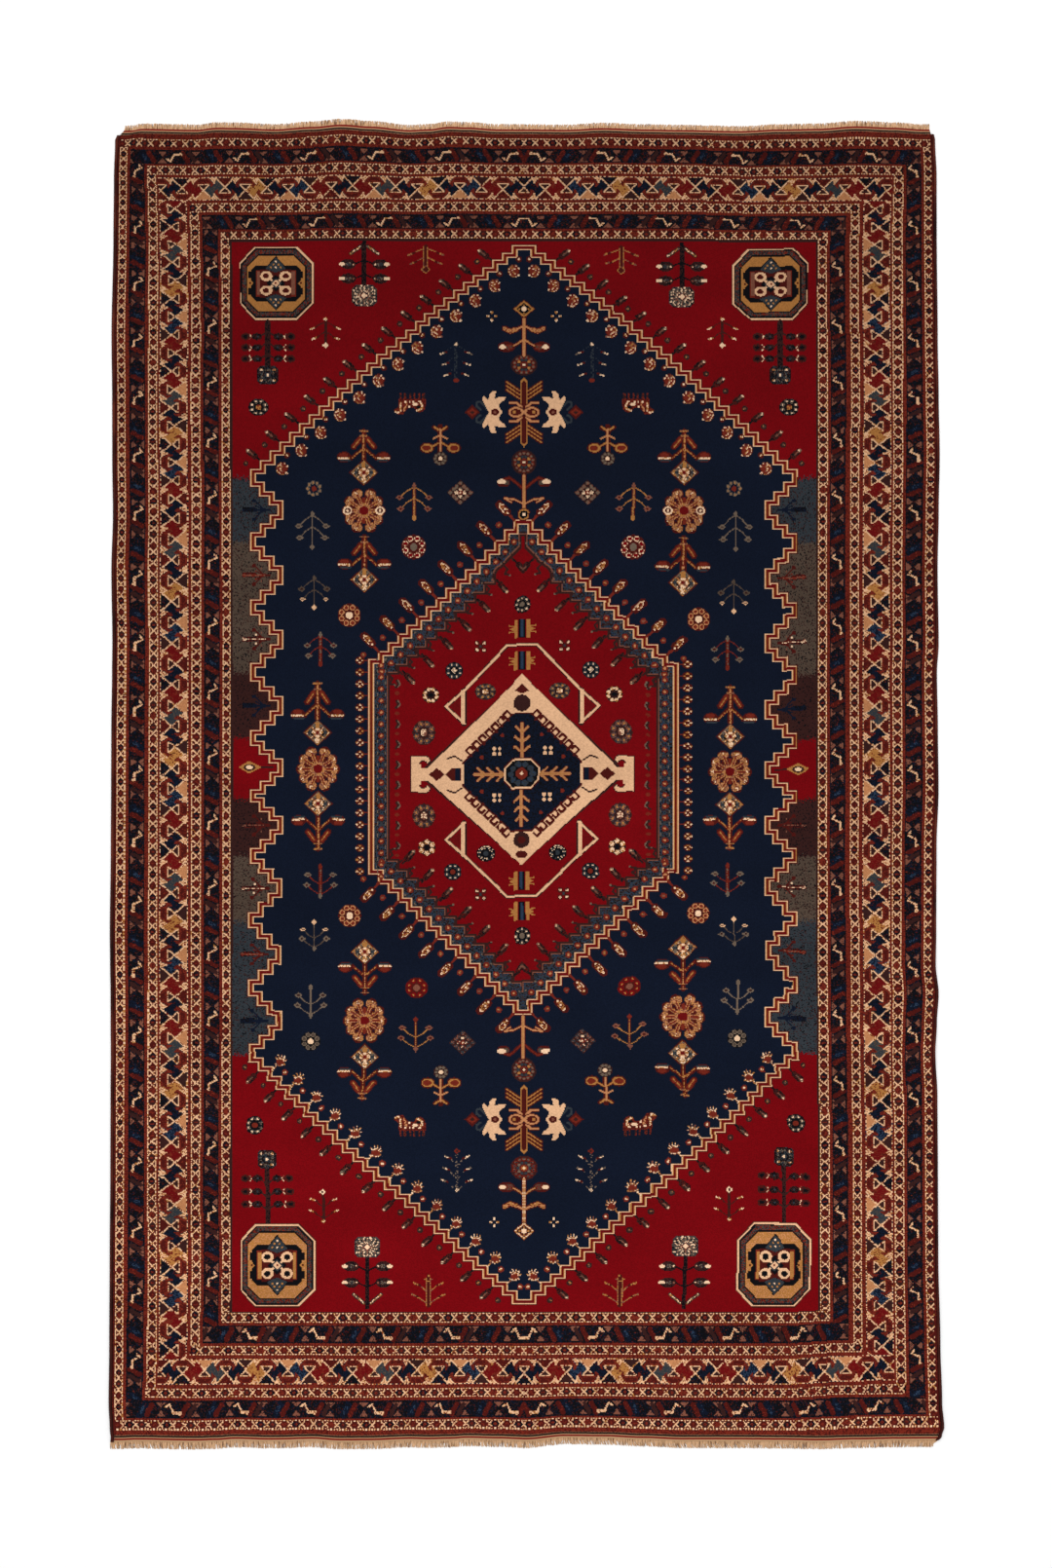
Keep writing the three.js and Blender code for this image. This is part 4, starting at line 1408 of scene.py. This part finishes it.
def set_stops(ramp, stops):
    """Sets a colour ramp's stops from pairs of position and colour, a linear one or an sRGB hex value."""
    elements = ramp.color_ramp.elements
    while len(elements) < len(stops):
        elements.new(0.5)
    for element, (position, colour) in zip(elements, stops):
        element.position = position
        element.color = (*(linear(colour) if isinstance(colour, str) else colour), 1)


def packed_knots(block):
    """Three numbers for each face from the dye numbers of its sixteen knots.

    Number k is the sum of dye times 16 to the power j over knots 6 k + j, j from 0 to 5."""
    rows, columns = block.shape
    faces = block.reshape(rows // FACE_KNOTS, FACE_KNOTS, columns // FACE_KNOTS, FACE_KNOTS)
    digits = np.zeros((rows * columns // FACE_KNOTS**2, 3 * KNOTS_PER_NUMBER))
    digits[:, : FACE_KNOTS**2] = faces.swapaxes(1, 2).reshape(-1, FACE_KNOTS**2)
    weights = float(DYE_COUNT) ** np.arange(KNOTS_PER_NUMBER)
    return (digits.reshape(-1, 3, KNOTS_PER_NUMBER) * weights).sum(axis=2)


# Painted shade along the rug: how bright the wool is painted at the near end and at the far end, which is
# painted darker
PAINTED_SHADE_ALONG = (0.97, 0.55)


def pile_wool(dyes):
    """Hand-spun wool, knotted and sheared: matt and deep, each knot a little lighter or darker than the next,
    with faint bands across the rug where one dye lot ended and the next began."""
    material, add = new_material("sheared_wool_pile")
    place = add("SeparateXYZ", {0: add("UVMap", uv_map="Chart")})
    column = add("Math", {0: place.outputs[0]}, operation="FLOOR")
    row = add("Math", {0: place.outputs[1]}, operation="FLOOR")
    in_column = add("Math", {0: column, 1: FACE_KNOTS}, operation="MODULO")
    in_row = add("Math", {0: row, 1: FACE_KNOTS}, operation="MODULO")
    knot = add("Math", {0: in_row, 1: FACE_KNOTS, 2: in_column}, operation="MULTIPLY_ADD")
    share = add("Math", {0: knot, 1: KNOTS_PER_NUMBER}, operation="DIVIDE")
    which = add("Math", {0: share}, operation="FLOOR")
    digit = add("Math", {0: knot, 1: KNOTS_PER_NUMBER}, operation="MODULO")
    held = add("Attribute", attribute_name="Knots")
    numbers = add("SeparateXYZ", {0: held.outputs["Vector"]})
    number = 0
    for axis in range(3):
        same = add("Math", {0: which, 1: axis, 2: 0.5}, operation="COMPARE")
        number = add("Math", {0: numbers.outputs[axis], 1: same, 2: number}, operation="MULTIPLY_ADD")
    weight = add("Math", {0: DYE_COUNT, 1: digit}, operation="POWER")
    shifted = add("Math", {0: number, 1: weight}, operation="DIVIDE")
    whole = add("Math", {0: shifted}, operation="FLOOR")
    wool = add("Math", {0: whole, 1: DYE_COUNT}, operation="MODULO")
    stop = add("Math", {0: wool, 1: 1 / DYE_COUNT, 2: 0.5 / DYE_COUNT}, operation="MULTIPLY_ADD")
    skeins = add("ValToRGB", {0: stop})
    skeins.color_ramp.interpolation = "CONSTANT"
    names = enumerate(RugDyes.__annotations__)
    set_stops(skeins, [(number_of_dye / DYE_COUNT, getattr(dyes, name)) for number_of_dye, name in names])
    cell = add("CombineXYZ", {0: column, 1: row})
    spun = add("TexWhiteNoise", {"Vector": cell}, noise_dimensions="2D")
    spot = add("TexCoord").outputs["Object"]
    long_way = add("VectorMath", {0: spot, 1: (1.2, 9, 1)}, operation="MULTIPLY")
    lots = add("TexNoise", {"Vector": long_way, "Scale": 1, "Detail": 3})
    walked = add("TexNoise", {"Vector": spot, "Scale": 7, "Detail": 4})
    nearness = add("SeparateXYZ", {0: spot})
    # Painted shade: the wool's colour darkens from the near end to the far end
    painted_shade = add("MapRange", {0: nearness.outputs[1], 1: -1.29, 2: 1.29, 3: PAINTED_SHADE_ALONG[0], 4: PAINTED_SHADE_ALONG[1]})
    tone = painted_shade.outputs[0]
    for noise, depth in ((spun, 0.30), (lots, 0.42), (walked, 0.36)):
        part = add("Math", {0: noise.outputs[0], 1: depth, 2: 1 - depth / 2}, operation="MULTIPLY_ADD")
        tone = add("Math", {0: tone, 1: part}, operation="MULTIPLY")
    colour = add("VectorMath", {0: skeins, "Scale": tone}, operation="SCALE")
    tufts = add("TexNoise", {"Vector": spot, "Scale": 420, "Detail": 2})
    nap = add("Bump", {"Height": tufts.outputs[0], "Strength": 0.5, "Distance": 0.0006})
    surface = {"Base Color": colour, "Roughness": 0.92, "Specular IOR Level": 0.05, "Normal": nap}
    finish_material(add, surface)
    return material


def slab_places(shape, upper, lower, walls, top, underside, side):
    """Places on the baking square of a slab's faces. Its top, underside and walls are bands of it, each given
    by where it starts and ends, or by its height and its start."""
    rows, columns = shape
    grid = np.meshgrid(np.linspace(0, 1, columns), np.linspace(0, 1, rows))
    share = 0.01 + 0.98 * np.tile(np.stack(grid, axis=-1).reshape(-1, 2), (2, 1))
    step = (np.arange(len(walls))[:, None] + np.array([0, 0, 1, 1])) / len(walls)
    low, high = side
    rim = np.stack([0.01 + 0.98 * step, np.array([low, high, high, low]) + 0 * step], axis=-1)
    return [share[upper] * (1, top), share[lower] * (1, underside[0]) + (0, underside[1]), rim]


def slab(top, bottom):
    """Closed slab between two grids of points: its points, and the faces of top, underside and walls."""
    along, across = top.shape[:2]
    below = along * across
    number = np.arange(below).reshape(along, across)
    rim = np.concatenate([number[:-1, 0], number[-1, :-1], number[:0:-1, -1], number[0, :0:-1]])
    following = np.roll(rim, -1)
    upper = grid_faces(along, across)
    lower = grid_faces(along, across, below)[:, ::-1]
    walls = np.stack([rim, rim + below, following + below, following], axis=1)
    return np.concatenate([top.reshape(-1, 3), bottom.reshape(-1, 3)]), upper, lower, walls


def stand_in(piece, material, node):
    """Gives a piece its material and its place in the rug, and hides the CAD node it replaces."""
    piece.data.materials.append(material)
    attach(piece, "root")
    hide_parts(node)
    return piece


def build_pile(name, first_column, knots, wool, sizes):
    """One lengthwise part of the pile, a closed slab: a grid of faces on top and below, walls between them.

    A point of column c and row r lies at x = -w + 2 w c / C, y = far - (far - near) r / R, then as laid."""
    column_marks = np.arange(0, knots.shape[1] + 1, FACE_KNOTS) + first_column
    row_marks = np.arange(0, KNOT_ROWS + 1, FACE_KNOTS)
    columns, rows = np.meshgrid(column_marks, row_marks)
    x = -CLOTH_HALF_WIDTH + 2 * CLOTH_HALF_WIDTH * columns / KNOT_COLUMNS
    y = PILE_FAR - (PILE_FAR - PILE_NEAR) * rows / KNOT_ROWS
    at_rim = (columns == 0) | (columns == KNOT_COLUMNS) | (rows == 0) | (rows == KNOT_ROWS)
    top = laid(x, y, sizes.pile_top - sizes.rim_drop * at_rim)
    points, upper, lower, walls = slab(top, laid(x, y, 0))
    piece = mesh_piece(name, points, np.concatenate([upper, lower, walls]))

    # Knot numbers of every face, a wall taking those of the face beside it
    per_face = packed_knots(knots)
    cells = np.arange(len(per_face)).reshape(len(row_marks) - 1, -1)
    beside = np.concatenate([cells[:, 0], cells[-1, :], cells[::-1, -1], cells[0, ::-1]])
    attribute = piece.data.attributes.new("Knots", "FLOAT_VECTOR", "FACE")
    numbers = np.concatenate([per_face, per_face, per_face[beside]])
    attribute.data.foreach_set("vector", numbers.astype(np.float32).ravel())

    # Chart places of every face corner, those of the walls half a knot in from the rim
    marks = np.stack([columns, rows], axis=-1).reshape(-1, 2).astype(float)
    inner = np.array([column_marks[0] + 0.5, 0.5]), np.array([column_marks[-1] - 0.5, KNOT_ROWS - 0.5])
    wall_marks = np.clip(marks, *inner)
    chart_places = np.concatenate([marks[upper], marks[lower - len(marks)], wall_marks[walls % len(marks)]])
    add_uv(piece, "Chart", chart_places)
    add_uv(piece, "OFBake", bake_places(chart_places, column_marks, len(upper), len(walls)))

    return stand_in(piece, wool, "rug_body")


# Shares of the baking square: the top of a pile part, its underside, and its walls
TOP_SHARE = 0.76
UNDERSIDE_SHARE = 0.97


def bake_places(chart_places, column_marks, cells, walls):
    """Places on the baking square: top and underside are each halved lengthwise, the halves side by side."""
    width = column_marks[-1] - column_marks[0]
    across = (chart_places[:, :, 0] - column_marks[0]) / width
    along = chart_places[:, :, 1] / KNOT_ROWS
    near_half = along.mean(axis=1, keepdims=True) > 0.5
    u = (across + near_half) / 2
    v = 2 * along - near_half
    margin = 0.002
    u = margin + u * (1 - 2 * margin)
    v = margin + v * (1 - 2 * margin)
    places = np.stack([u, v], axis=-1)
    places[:cells, :, 0] = places[:cells, :, 0] * TOP_SHARE
    underside = places[cells : 2 * cells, :, 0]
    places[cells : 2 * cells, :, 0] = TOP_SHARE + underside * (UNDERSIDE_SHARE - TOP_SHARE)
    step = np.arange(walls)[:, None] + np.array([0, 0, 1, 1])[None, :]
    places[2 * cells :, :, 1] = margin + (1 - 2 * margin) * step / walls
    places[2 * cells :, :, 0] = UNDERSIDE_SHARE + (1 - UNDERSIDE_SHARE) * np.array([0.2, 0.9, 0.9, 0.2])
    return places


def build_kilim(name, inner, outer, material, sizes):
    """Flat-woven end, a closed slab: x from side to side, y from the pile's edge outwards, then as laid."""
    outwards = 1 if outer > inner else -1
    x = np.linspace(-CLOTH_HALF_WIDTH, CLOTH_HALF_WIDTH, KILIM_POINTS[0])
    y = np.linspace(max(inner, outer), min(inner, outer), KILIM_POINTS[1])
    columns, rows = np.meshgrid(x, y)
    top = laid(columns, rows, sizes.kilim_top)
    points, upper, lower, walls = slab(top, laid(columns, rows, 0))
    piece = mesh_piece(name, points, np.concatenate([upper, lower, walls]))

    # Places on the cloth in millimetres: along the end, and outwards from the pile
    marks = np.stack([columns, (rows - inner) * outwards], axis=-1).reshape(-1, 2) / MM
    marks = np.concatenate([marks, marks])
    add_uv(piece, "Cloth", np.concatenate([marks[upper], marks[lower], marks[walls]]))
    places = slab_places(columns.shape, upper, lower, walls, 0.5, (0.4, 0.5), (0.91, 0.99))
    add_uv(piece, "OFBake", np.concatenate(places))
    return stand_in(piece, material, "rug_body")


# Corners of a selvedge's section, from its foot beside the cloth over its crown to its outer foot, in shares
SECTION = (
    (0.00, 0.00), (0.00, 0.35), (0.02, 0.70), (0.16, 0.90), (0.36, 1.00), (0.60, 0.99),
    (0.82, 0.88), (0.96, 0.64), (1.00, 0.38), (0.98, 0.16), (0.90, 0.00), (0.45, 0.00),
)
WRAP_POINTS = 4


def build_selvedge(name, side, material, sizes):
    """Overcast cord: a section run along the side; each wrap bulges by |cos(pi s / pitch)| and slants."""
    wraps = round((PILE_FAR - CLOTH_NEAR) / sizes.wrap_pitch)
    rows = np.linspace(CLOTH_NEAR, PILE_FAR, wraps * WRAP_POINTS + 1)[:, None]
    across = np.array([corner[0] for corner in SECTION])[None, :]
    height = np.array([corner[1] for corner in SECTION])[None, :]
    turn = (rows - CLOTH_NEAR) / sizes.wrap_pitch + 0.5 * across
    bulge = 0.86 + 0.14 * np.abs(np.cos(np.pi * turn))
    x = CLOTH_HALF_WIDTH + PIECE_GAP + SELVEDGE_WIDTH * (0.5 + (across - 0.5) * bulge)
    z = sizes.selvedge_top * height * bulge
    points = laid(side * x, rows + 0 * across, z)
    count = len(SECTION)
    rings = len(rows)
    first = np.arange(rings - 1)[:, None] * count
    here = np.arange(count)[None, :]
    after = (here + 1) % count
    skin = np.stack([first + here, first + count + here, first + count + after, first + after], axis=-1)
    skin = skin.reshape(-1, 4)
    pairs = np.arange(count // 2 - 1)
    cap = np.stack([pairs, pairs + 1, count - 2 - pairs, count - 1 - pairs], axis=1)
    last = cap[:, ::-1] + (rings - 1) * count
    faces = np.concatenate([skin, cap, last])
    if side < 0:
        faces = faces[:, ::-1]
    piece = mesh_piece(name, points.reshape(-1, 3), faces, math.radians(80))

    # Places on the baking square: the length is folded into columns, each round the whole section
    fold = 8
    along = np.arange(rings - 1)[:, None] + np.zeros((1, count))
    column = np.floor(along * fold / (rings - 1))
    start = column * (rings - 1) / fold
    v0 = (along - start) * fold / (rings - 1)
    v1 = (along + 1 - start) * fold / (rings - 1)
    u0 = (column + 0.04 + 0.92 * here / count) / fold
    u1 = (column + 0.04 + 0.92 * (here + 1) / count) / fold
    u = np.stack([u0, u0, u1, u1], -1).reshape(-1, 4)
    v = np.stack([v0, v1, v1, v0], -1).reshape(-1, 4)
    places = np.stack([u, 0.03 + 0.96 * np.clip(v, 0, 1)], axis=-1)
    ends = []
    for number, end in enumerate((cap, cap[:, ::-1])):
        shares = np.array(SECTION)[end]
        ends.append(shares * 0.018 + (0.02 + 0.04 * number, 0.004))
    places = np.concatenate([places, *ends])
    if side < 0:
        places = places[:, ::-1]
    add_uv(piece, "OFBake", places)
    node = "selvedge_left" if side < 0 else "selvedge_right"
    return stand_in(piece, material, node)


def build_fringe(name, outwards, material, sizes):
    """Root strip along the kilim's edge, and cut warp ends that lean out of it, each a bent four-sided taper.

    Ring k of an end lies at root + reach (k / 3) along its lean; its half width shrinks from 1 to 0.85."""
    far = outwards > 0
    edge = CLOTH_FAR if far else CLOTH_NEAR
    half = CLOTH_HALF_WIDTH if far else HALF_WIDTH - 0.6 * MM
    random = np.random.default_rng(17 if far else 29)
    start = edge + outwards * PIECE_GAP
    x = np.linspace(-half, half, STRIP_POINTS[0])
    y = start + outwards * np.linspace(0, STRIP_WIDTH, STRIP_POINTS[1])
    columns, rows = np.meshgrid(x, y[::-outwards])
    lift = sizes.yarn_width * (0.7 + 0.3 * np.cos(np.pi * (rows - start) * outwards / STRIP_WIDTH))
    points, upper, lower, walls = slab(laid(columns, rows, 1.1 * lift), laid(columns, rows, 0))

    count = sizes.yarn_ends
    root = np.linspace(-half + 1 * MM, half - 1 * MM, count) + random.uniform(-0.4, 0.4, count) * MM
    reach = (HALF_LENGTH - abs(edge)) + random.uniform(0.3, 2.2, count) * MM
    reach -= random.uniform(0, 1, count) ** 8 * 3 * MM
    lean = 0.3 * np.sin(root / (190 * MM)) + 0.2
    lean = lean * (1 - (root / half) ** 8) + random.normal(0, 0.13, count)
    curl = random.normal(0, 0.5, count) * MM
    thick = sizes.yarn_width * random.uniform(0.36, 0.5, count)
    lie = random.uniform(0.45, 1.0, count) * MM
    ring = np.arange(4)[None, :] / 3
    leaning = lean[:, None] * (reach[:, None] - 2 * MM) * ring
    middle_x = root[:, None] + leaning + curl[:, None] * np.sin(np.pi * ring)
    middle_x = np.clip(middle_x, -half, half)
    middle_y = edge + outwards * (2 * MM + (reach[:, None] - 2 * MM) * ring)
    middle_z = thick[:, None] * 1.05 + lie[:, None] * (1 - ring) ** 1.5
    width = thick[:, None] * (1 - 0.15 * ring)
    corner = np.pi * (0.25 + 0.5 * np.arange(4))
    yarn_x = middle_x[:, :, None] + width[:, :, None] * np.cos(corner)
    yarn_z = middle_z[:, :, None] + 0.95 * width[:, :, None] * np.sin(corner)
    yarns = laid(yarn_x, middle_y[:, :, None] + 0 * yarn_x, yarn_z).reshape(-1, 3)
    here = np.arange(4)
    after = (here + 1) % 4
    one = [[4 * k + here, 4 * k + after, 4 * k + 4 + after, 4 * k + 4 + here] for k in range(3)]
    one = np.concatenate([np.stack(sides, 1) for sides in one] + [[[3, 2, 1, 0]], [[12, 13, 14, 15]]])

    # The yarn ends lie in rows on the baking square, each in a cell of its own
    in_row = 40
    tall = 0.82 / math.ceil(count / in_row)
    cell = np.arange(count)
    one_u = np.array([[f, f + 1, f + 1, f] for f in range(4)] * 3 + [[4.2, 4.6, 4.6, 4.2]] * 2) / 5
    one_v = [[k, k, k + 1, k + 1] for k in range(3) for _ in range(4)]
    one_v = np.array(one_v + [[0, 0, 1, 1], [2, 2, 3, 3]]) / 3
    if far:
        one, one_u, one_v = one[:, ::-1], one_u[:, ::-1], one_v[:, ::-1]
    ends = (one[None] + 16 * np.arange(count)[:, None, None]).reshape(-1, 4) + len(points)
    faces = np.concatenate([upper, lower, walls, ends])
    piece = mesh_piece(name, np.concatenate([points, yarns]), faces, math.radians(60))
    yarn_u = (cell % in_row)[:, None, None] / in_row + (0.05 + 0.9 * one_u) / in_row
    yarn_v = 0.17 + (cell // in_row)[:, None, None] * tall + (0.05 + 0.9 * one_v) * tall
    yarn_places = np.stack([yarn_u, yarn_v], axis=-1).reshape(-1, 4, 2)
    strip_places = slab_places(columns.shape, upper, lower, walls, 0.08, (0.05, 0.09), (0.145, 0.155))
    add_uv(piece, "OFBake", np.concatenate([*strip_places, yarn_places]))
    return stand_in(piece, material, "fringe_far" if far else "fringe_near")


def kilim_weave():
    """Flat weave without knots: wefts beaten down over the warps, so that thin stripes of cream, black and
    red run along the end, and the warps show only as fine ribs across them."""
    material, add = new_material("flat_woven_end")
    cloth = add("UVMap", uv_map="Cloth")
    place = add("SeparateXYZ", {0: cloth})
    drift = add("TexNoise", {"Vector": cloth, "Scale": 0.05, "Detail": 2})
    moved = add("Math", {0: drift, 1: 0.8, 2: place.outputs[1]}, operation="MULTIPLY_ADD")
    share = add("Math", {0: moved, 1: 13.0}, operation="DIVIDE")
    stripes = add("ValToRGB", {0: share})
    stripes.color_ramp.interpolation = "CONSTANT"
    # The first cream, beside the pile, is a real stripe painted lighter than the other creams: painted light
    # that offsets the pile's shadow on it
    wefts = ((0.0, "d2aa82"), (0.13, "1e100e"), (0.40, "bc946e"), (0.52, "7c2018"), (0.80, "bc9670"))
    set_stops(stripes, wefts)
    # The ribs also scale the colour, darker in their hollows: painted shade, as well as their bump
    ribs = add("TexWave", {"Vector": cloth, "Scale": 0.165, "Distortion": 0.6}).outputs["Fac"]
    shade = add("MapRange", {"Value": ribs, 3: 0.7, 4: 1.05})
    tint = add("Mix", {0: 1.0, 6: stripes, 7: shade}, data_type="RGBA", blend_type="MULTIPLY").outputs[2]
    bump = add("Bump", {"Strength": 0.5, "Distance": 0.0004, "Height": ribs})
    finish_material(add, {"Base Color": tint, "Roughness": 0.9, "Specular IOR Level": 0.08, "Normal": bump})
    return material


def overcast_wool():
    """Dark wool yarn wrapped round the side cords: each wrap catches the light on its back, and the dye
    wanders between red-brown and near black from one length of yarn to the next."""
    material, add = new_material("overcast_wool")
    place = add("TexCoord").outputs["Object"]
    stretch = add("Mapping", {"Vector": place, "Scale": (60, 14, 60)})
    lots = add("TexNoise", {"Vector": stretch, "Scale": 1.0, "Detail": 3})
    tones = add("ValToRGB", {0: lots.outputs["Fac"]})
    set_stops(tones, ((0.3, "200d0a"), (0.5, "3e1812"), (0.7, "5a271b")))
    fibres = add("TexNoise", {"Vector": place, "Scale": 1400, "Detail": 2})
    bump = add("Bump", {"Strength": 0.4, "Distance": 0.0003, "Height": fibres.outputs["Fac"]})
    finish_material(add, {"Base Color": tones, "Roughness": 0.88, "Specular IOR Level": 0.1, "Normal": bump})
    return material


def warp_yarn():
    """Undyed spun warp: plied yarn, beige with age, dark where dirt and shadow sit between the ends."""
    material, add = new_material("undyed_warp")
    place = add("TexCoord").outputs["Object"]
    stretch = add("Mapping", {"Vector": place, "Scale": (420, 60, 60)})
    ends = add("TexNoise", {"Vector": stretch, "Scale": 1.0, "Detail": 2})
    tones = add("ValToRGB", {0: ends.outputs["Fac"]})
    set_stops(tones, ((0.32, "6a4a36"), (0.45, "b08a66"), (0.6, "cfa680"), (0.75, "be926e")))
    twist = add("TexNoise", {"Vector": place, "Scale": 1500, "Detail": 2})
    bump = add("Bump", {"Strength": 0.4, "Distance": 0.0003, "Height": twist.outputs["Fac"]})
    finish_material(add, {"Base Color": tones, "Roughness": 0.9, "Specular IOR Level": 0.1, "Normal": bump})
    return material


class WeaveKilims(bpy.types.Operator):
    """Weaves the flat ends beyond the pile"""

    bl_idname = "rug.weave_kilims"
    bl_label = "Weave the flat ends"

    def execute(self, context):
        weave, sizes = kilim_weave(), context.scene.rug_sizes
        build_kilim("kilim_far", PILE_FAR, CLOTH_FAR, weave, sizes)
        build_kilim("kilim_near", PILE_NEAR, CLOTH_NEAR, weave, sizes)
        return {"FINISHED"}


class BindSides(bpy.types.Operator):
    """Overcasts the two long sides"""

    bl_idname = "rug.bind_sides"
    bl_label = "Bind the sides"

    def execute(self, context):
        wool, sizes = overcast_wool(), context.scene.rug_sizes
        build_selvedge("overcast_left", -1, wool, sizes)
        build_selvedge("overcast_right", 1, wool, sizes)
        return {"FINISHED"}


class CutFringes(bpy.types.Operator):
    """Leaves the cut warp ends free at both ends of the rug"""

    bl_idname = "rug.cut_fringes"
    bl_label = "Cut the fringes"

    def execute(self, context):
        yarn, sizes = warp_yarn(), context.scene.rug_sizes
        build_fringe("warp_ends_far", 1, yarn, sizes)
        build_fringe("warp_ends_near", -1, yarn, sizes)
        return {"FINISHED"}


class KnotPile(bpy.types.Operator):
    """Draws the chart and knots the pile, in six lengthwise parts"""

    bl_idname = "rug.knot_pile"
    bl_label = "Knot the pile"

    def execute(self, context):
        knots = drawn_chart()
        wool = pile_wool(context.scene.rug_dyes)
        width = KNOT_COLUMNS // PILE_PARTS
        for number in range(PILE_PARTS):
            first = number * width
            part = knots[:, first : first + width]
            build_pile(f"pile_part_{number + 1}", first, part, wool, context.scene.rug_sizes)
        return {"FINISHED"}


# Stage, in metres and watts: the floor reaches as far each way, the lamp hangs over the far half
FLOOR_REACH = 6
LAMP_SIZE = 5
LAMP_PLACE = (0, 0.9, 5)
LAMP_TILT = math.radians(-10)
LAMP_POWER = 185
ROOM_LIGHT = 0.7
CAMERA_HEIGHT = 6.807


class SetStage(bpy.types.Operator):
    """Lays the floor and sets the soft light and the camera above the rug"""

    bl_idname = "rug.set_stage"
    bl_label = "Set the stage"

    def execute(self, context):
        scene = context.scene
        corners = np.array([(-1, -1, 0), (-1, 1, 0), (1, 1, 0), (1, -1, 0)], float)
        floor = mesh_piece("floor", FLOOR_REACH * corners, np.array([[3, 2, 1, 0]]))
        material, add = new_material("pale_floor")
        finish_material(add, {"Base Color": (0.9, 0.9, 0.9, 1), "Roughness": 0.8, "Specular IOR Level": 0.1})
        floor.data.materials.append(material)

        world = bpy.data.worlds.new("soft_room")
        world.use_nodes = True
        sky = world.node_tree.nodes["Background"]
        sky.inputs["Color"].default_value = (1, 1, 1, 1)
        sky.inputs["Strength"].default_value = ROOM_LIGHT
        scene.world = world
        lamp = bpy.data.lights.new("overhead", "AREA")
        lamp.shape = "RECTANGLE"
        lamp.size = LAMP_SIZE
        lamp.size_y = LAMP_SIZE
        lamp.energy = LAMP_POWER
        light = bpy.data.objects.new("overhead", lamp)
        light.location = LAMP_PLACE
        light.rotation_euler = (LAMP_TILT, 0, 0)
        scene.collection.objects.link(light)

        view = bpy.data.cameras.new("above")
        view.lens = scene.rug_sizes.lens
        view.sensor_width = 36
        camera = bpy.data.objects.new("above", view)
        camera.location = (0, 0, CAMERA_HEIGHT)
        scene.collection.objects.link(camera)
        scene.camera = camera
        scene.view_settings.view_transform = "Standard"
        return {"FINISHED"}


class RugPanel(bpy.types.Panel):
    """Lists the steps that make the rug"""

    bl_idname = "VIEW3D_PT_rug"
    bl_label = "Hand-knotted rug"
    bl_space_type = "VIEW_3D"
    bl_region_type = "UI"
    bl_category = "Rug"

    def draw(self, context):
        for step in STEPS:
            self.layout.operator(step.bl_idname)


STEPS = (SetStage, KnotPile, WeaveKilims, BindSides, CutFringes)
CLASSES = (RugDyes, RugSizes, *STEPS, RugPanel)


def register():
    for one in CLASSES:
        bpy.utils.register_class(one)
    bpy.types.Scene.rug_dyes = bpy.props.PointerProperty(type=RugDyes)
    bpy.types.Scene.rug_sizes = bpy.props.PointerProperty(type=RugSizes)


def unregister():
    del bpy.types.Scene.rug_sizes
    del bpy.types.Scene.rug_dyes
    for one in reversed(CLASSES):
        bpy.utils.unregister_class(one)


def main():
    register()
    bpy.ops.rug.set_stage()
    bpy.ops.rug.knot_pile()
    bpy.ops.rug.weave_kilims()
    bpy.ops.rug.bind_sides()
    bpy.ops.rug.cut_fringes()


if __name__ == "__main__":
    main()
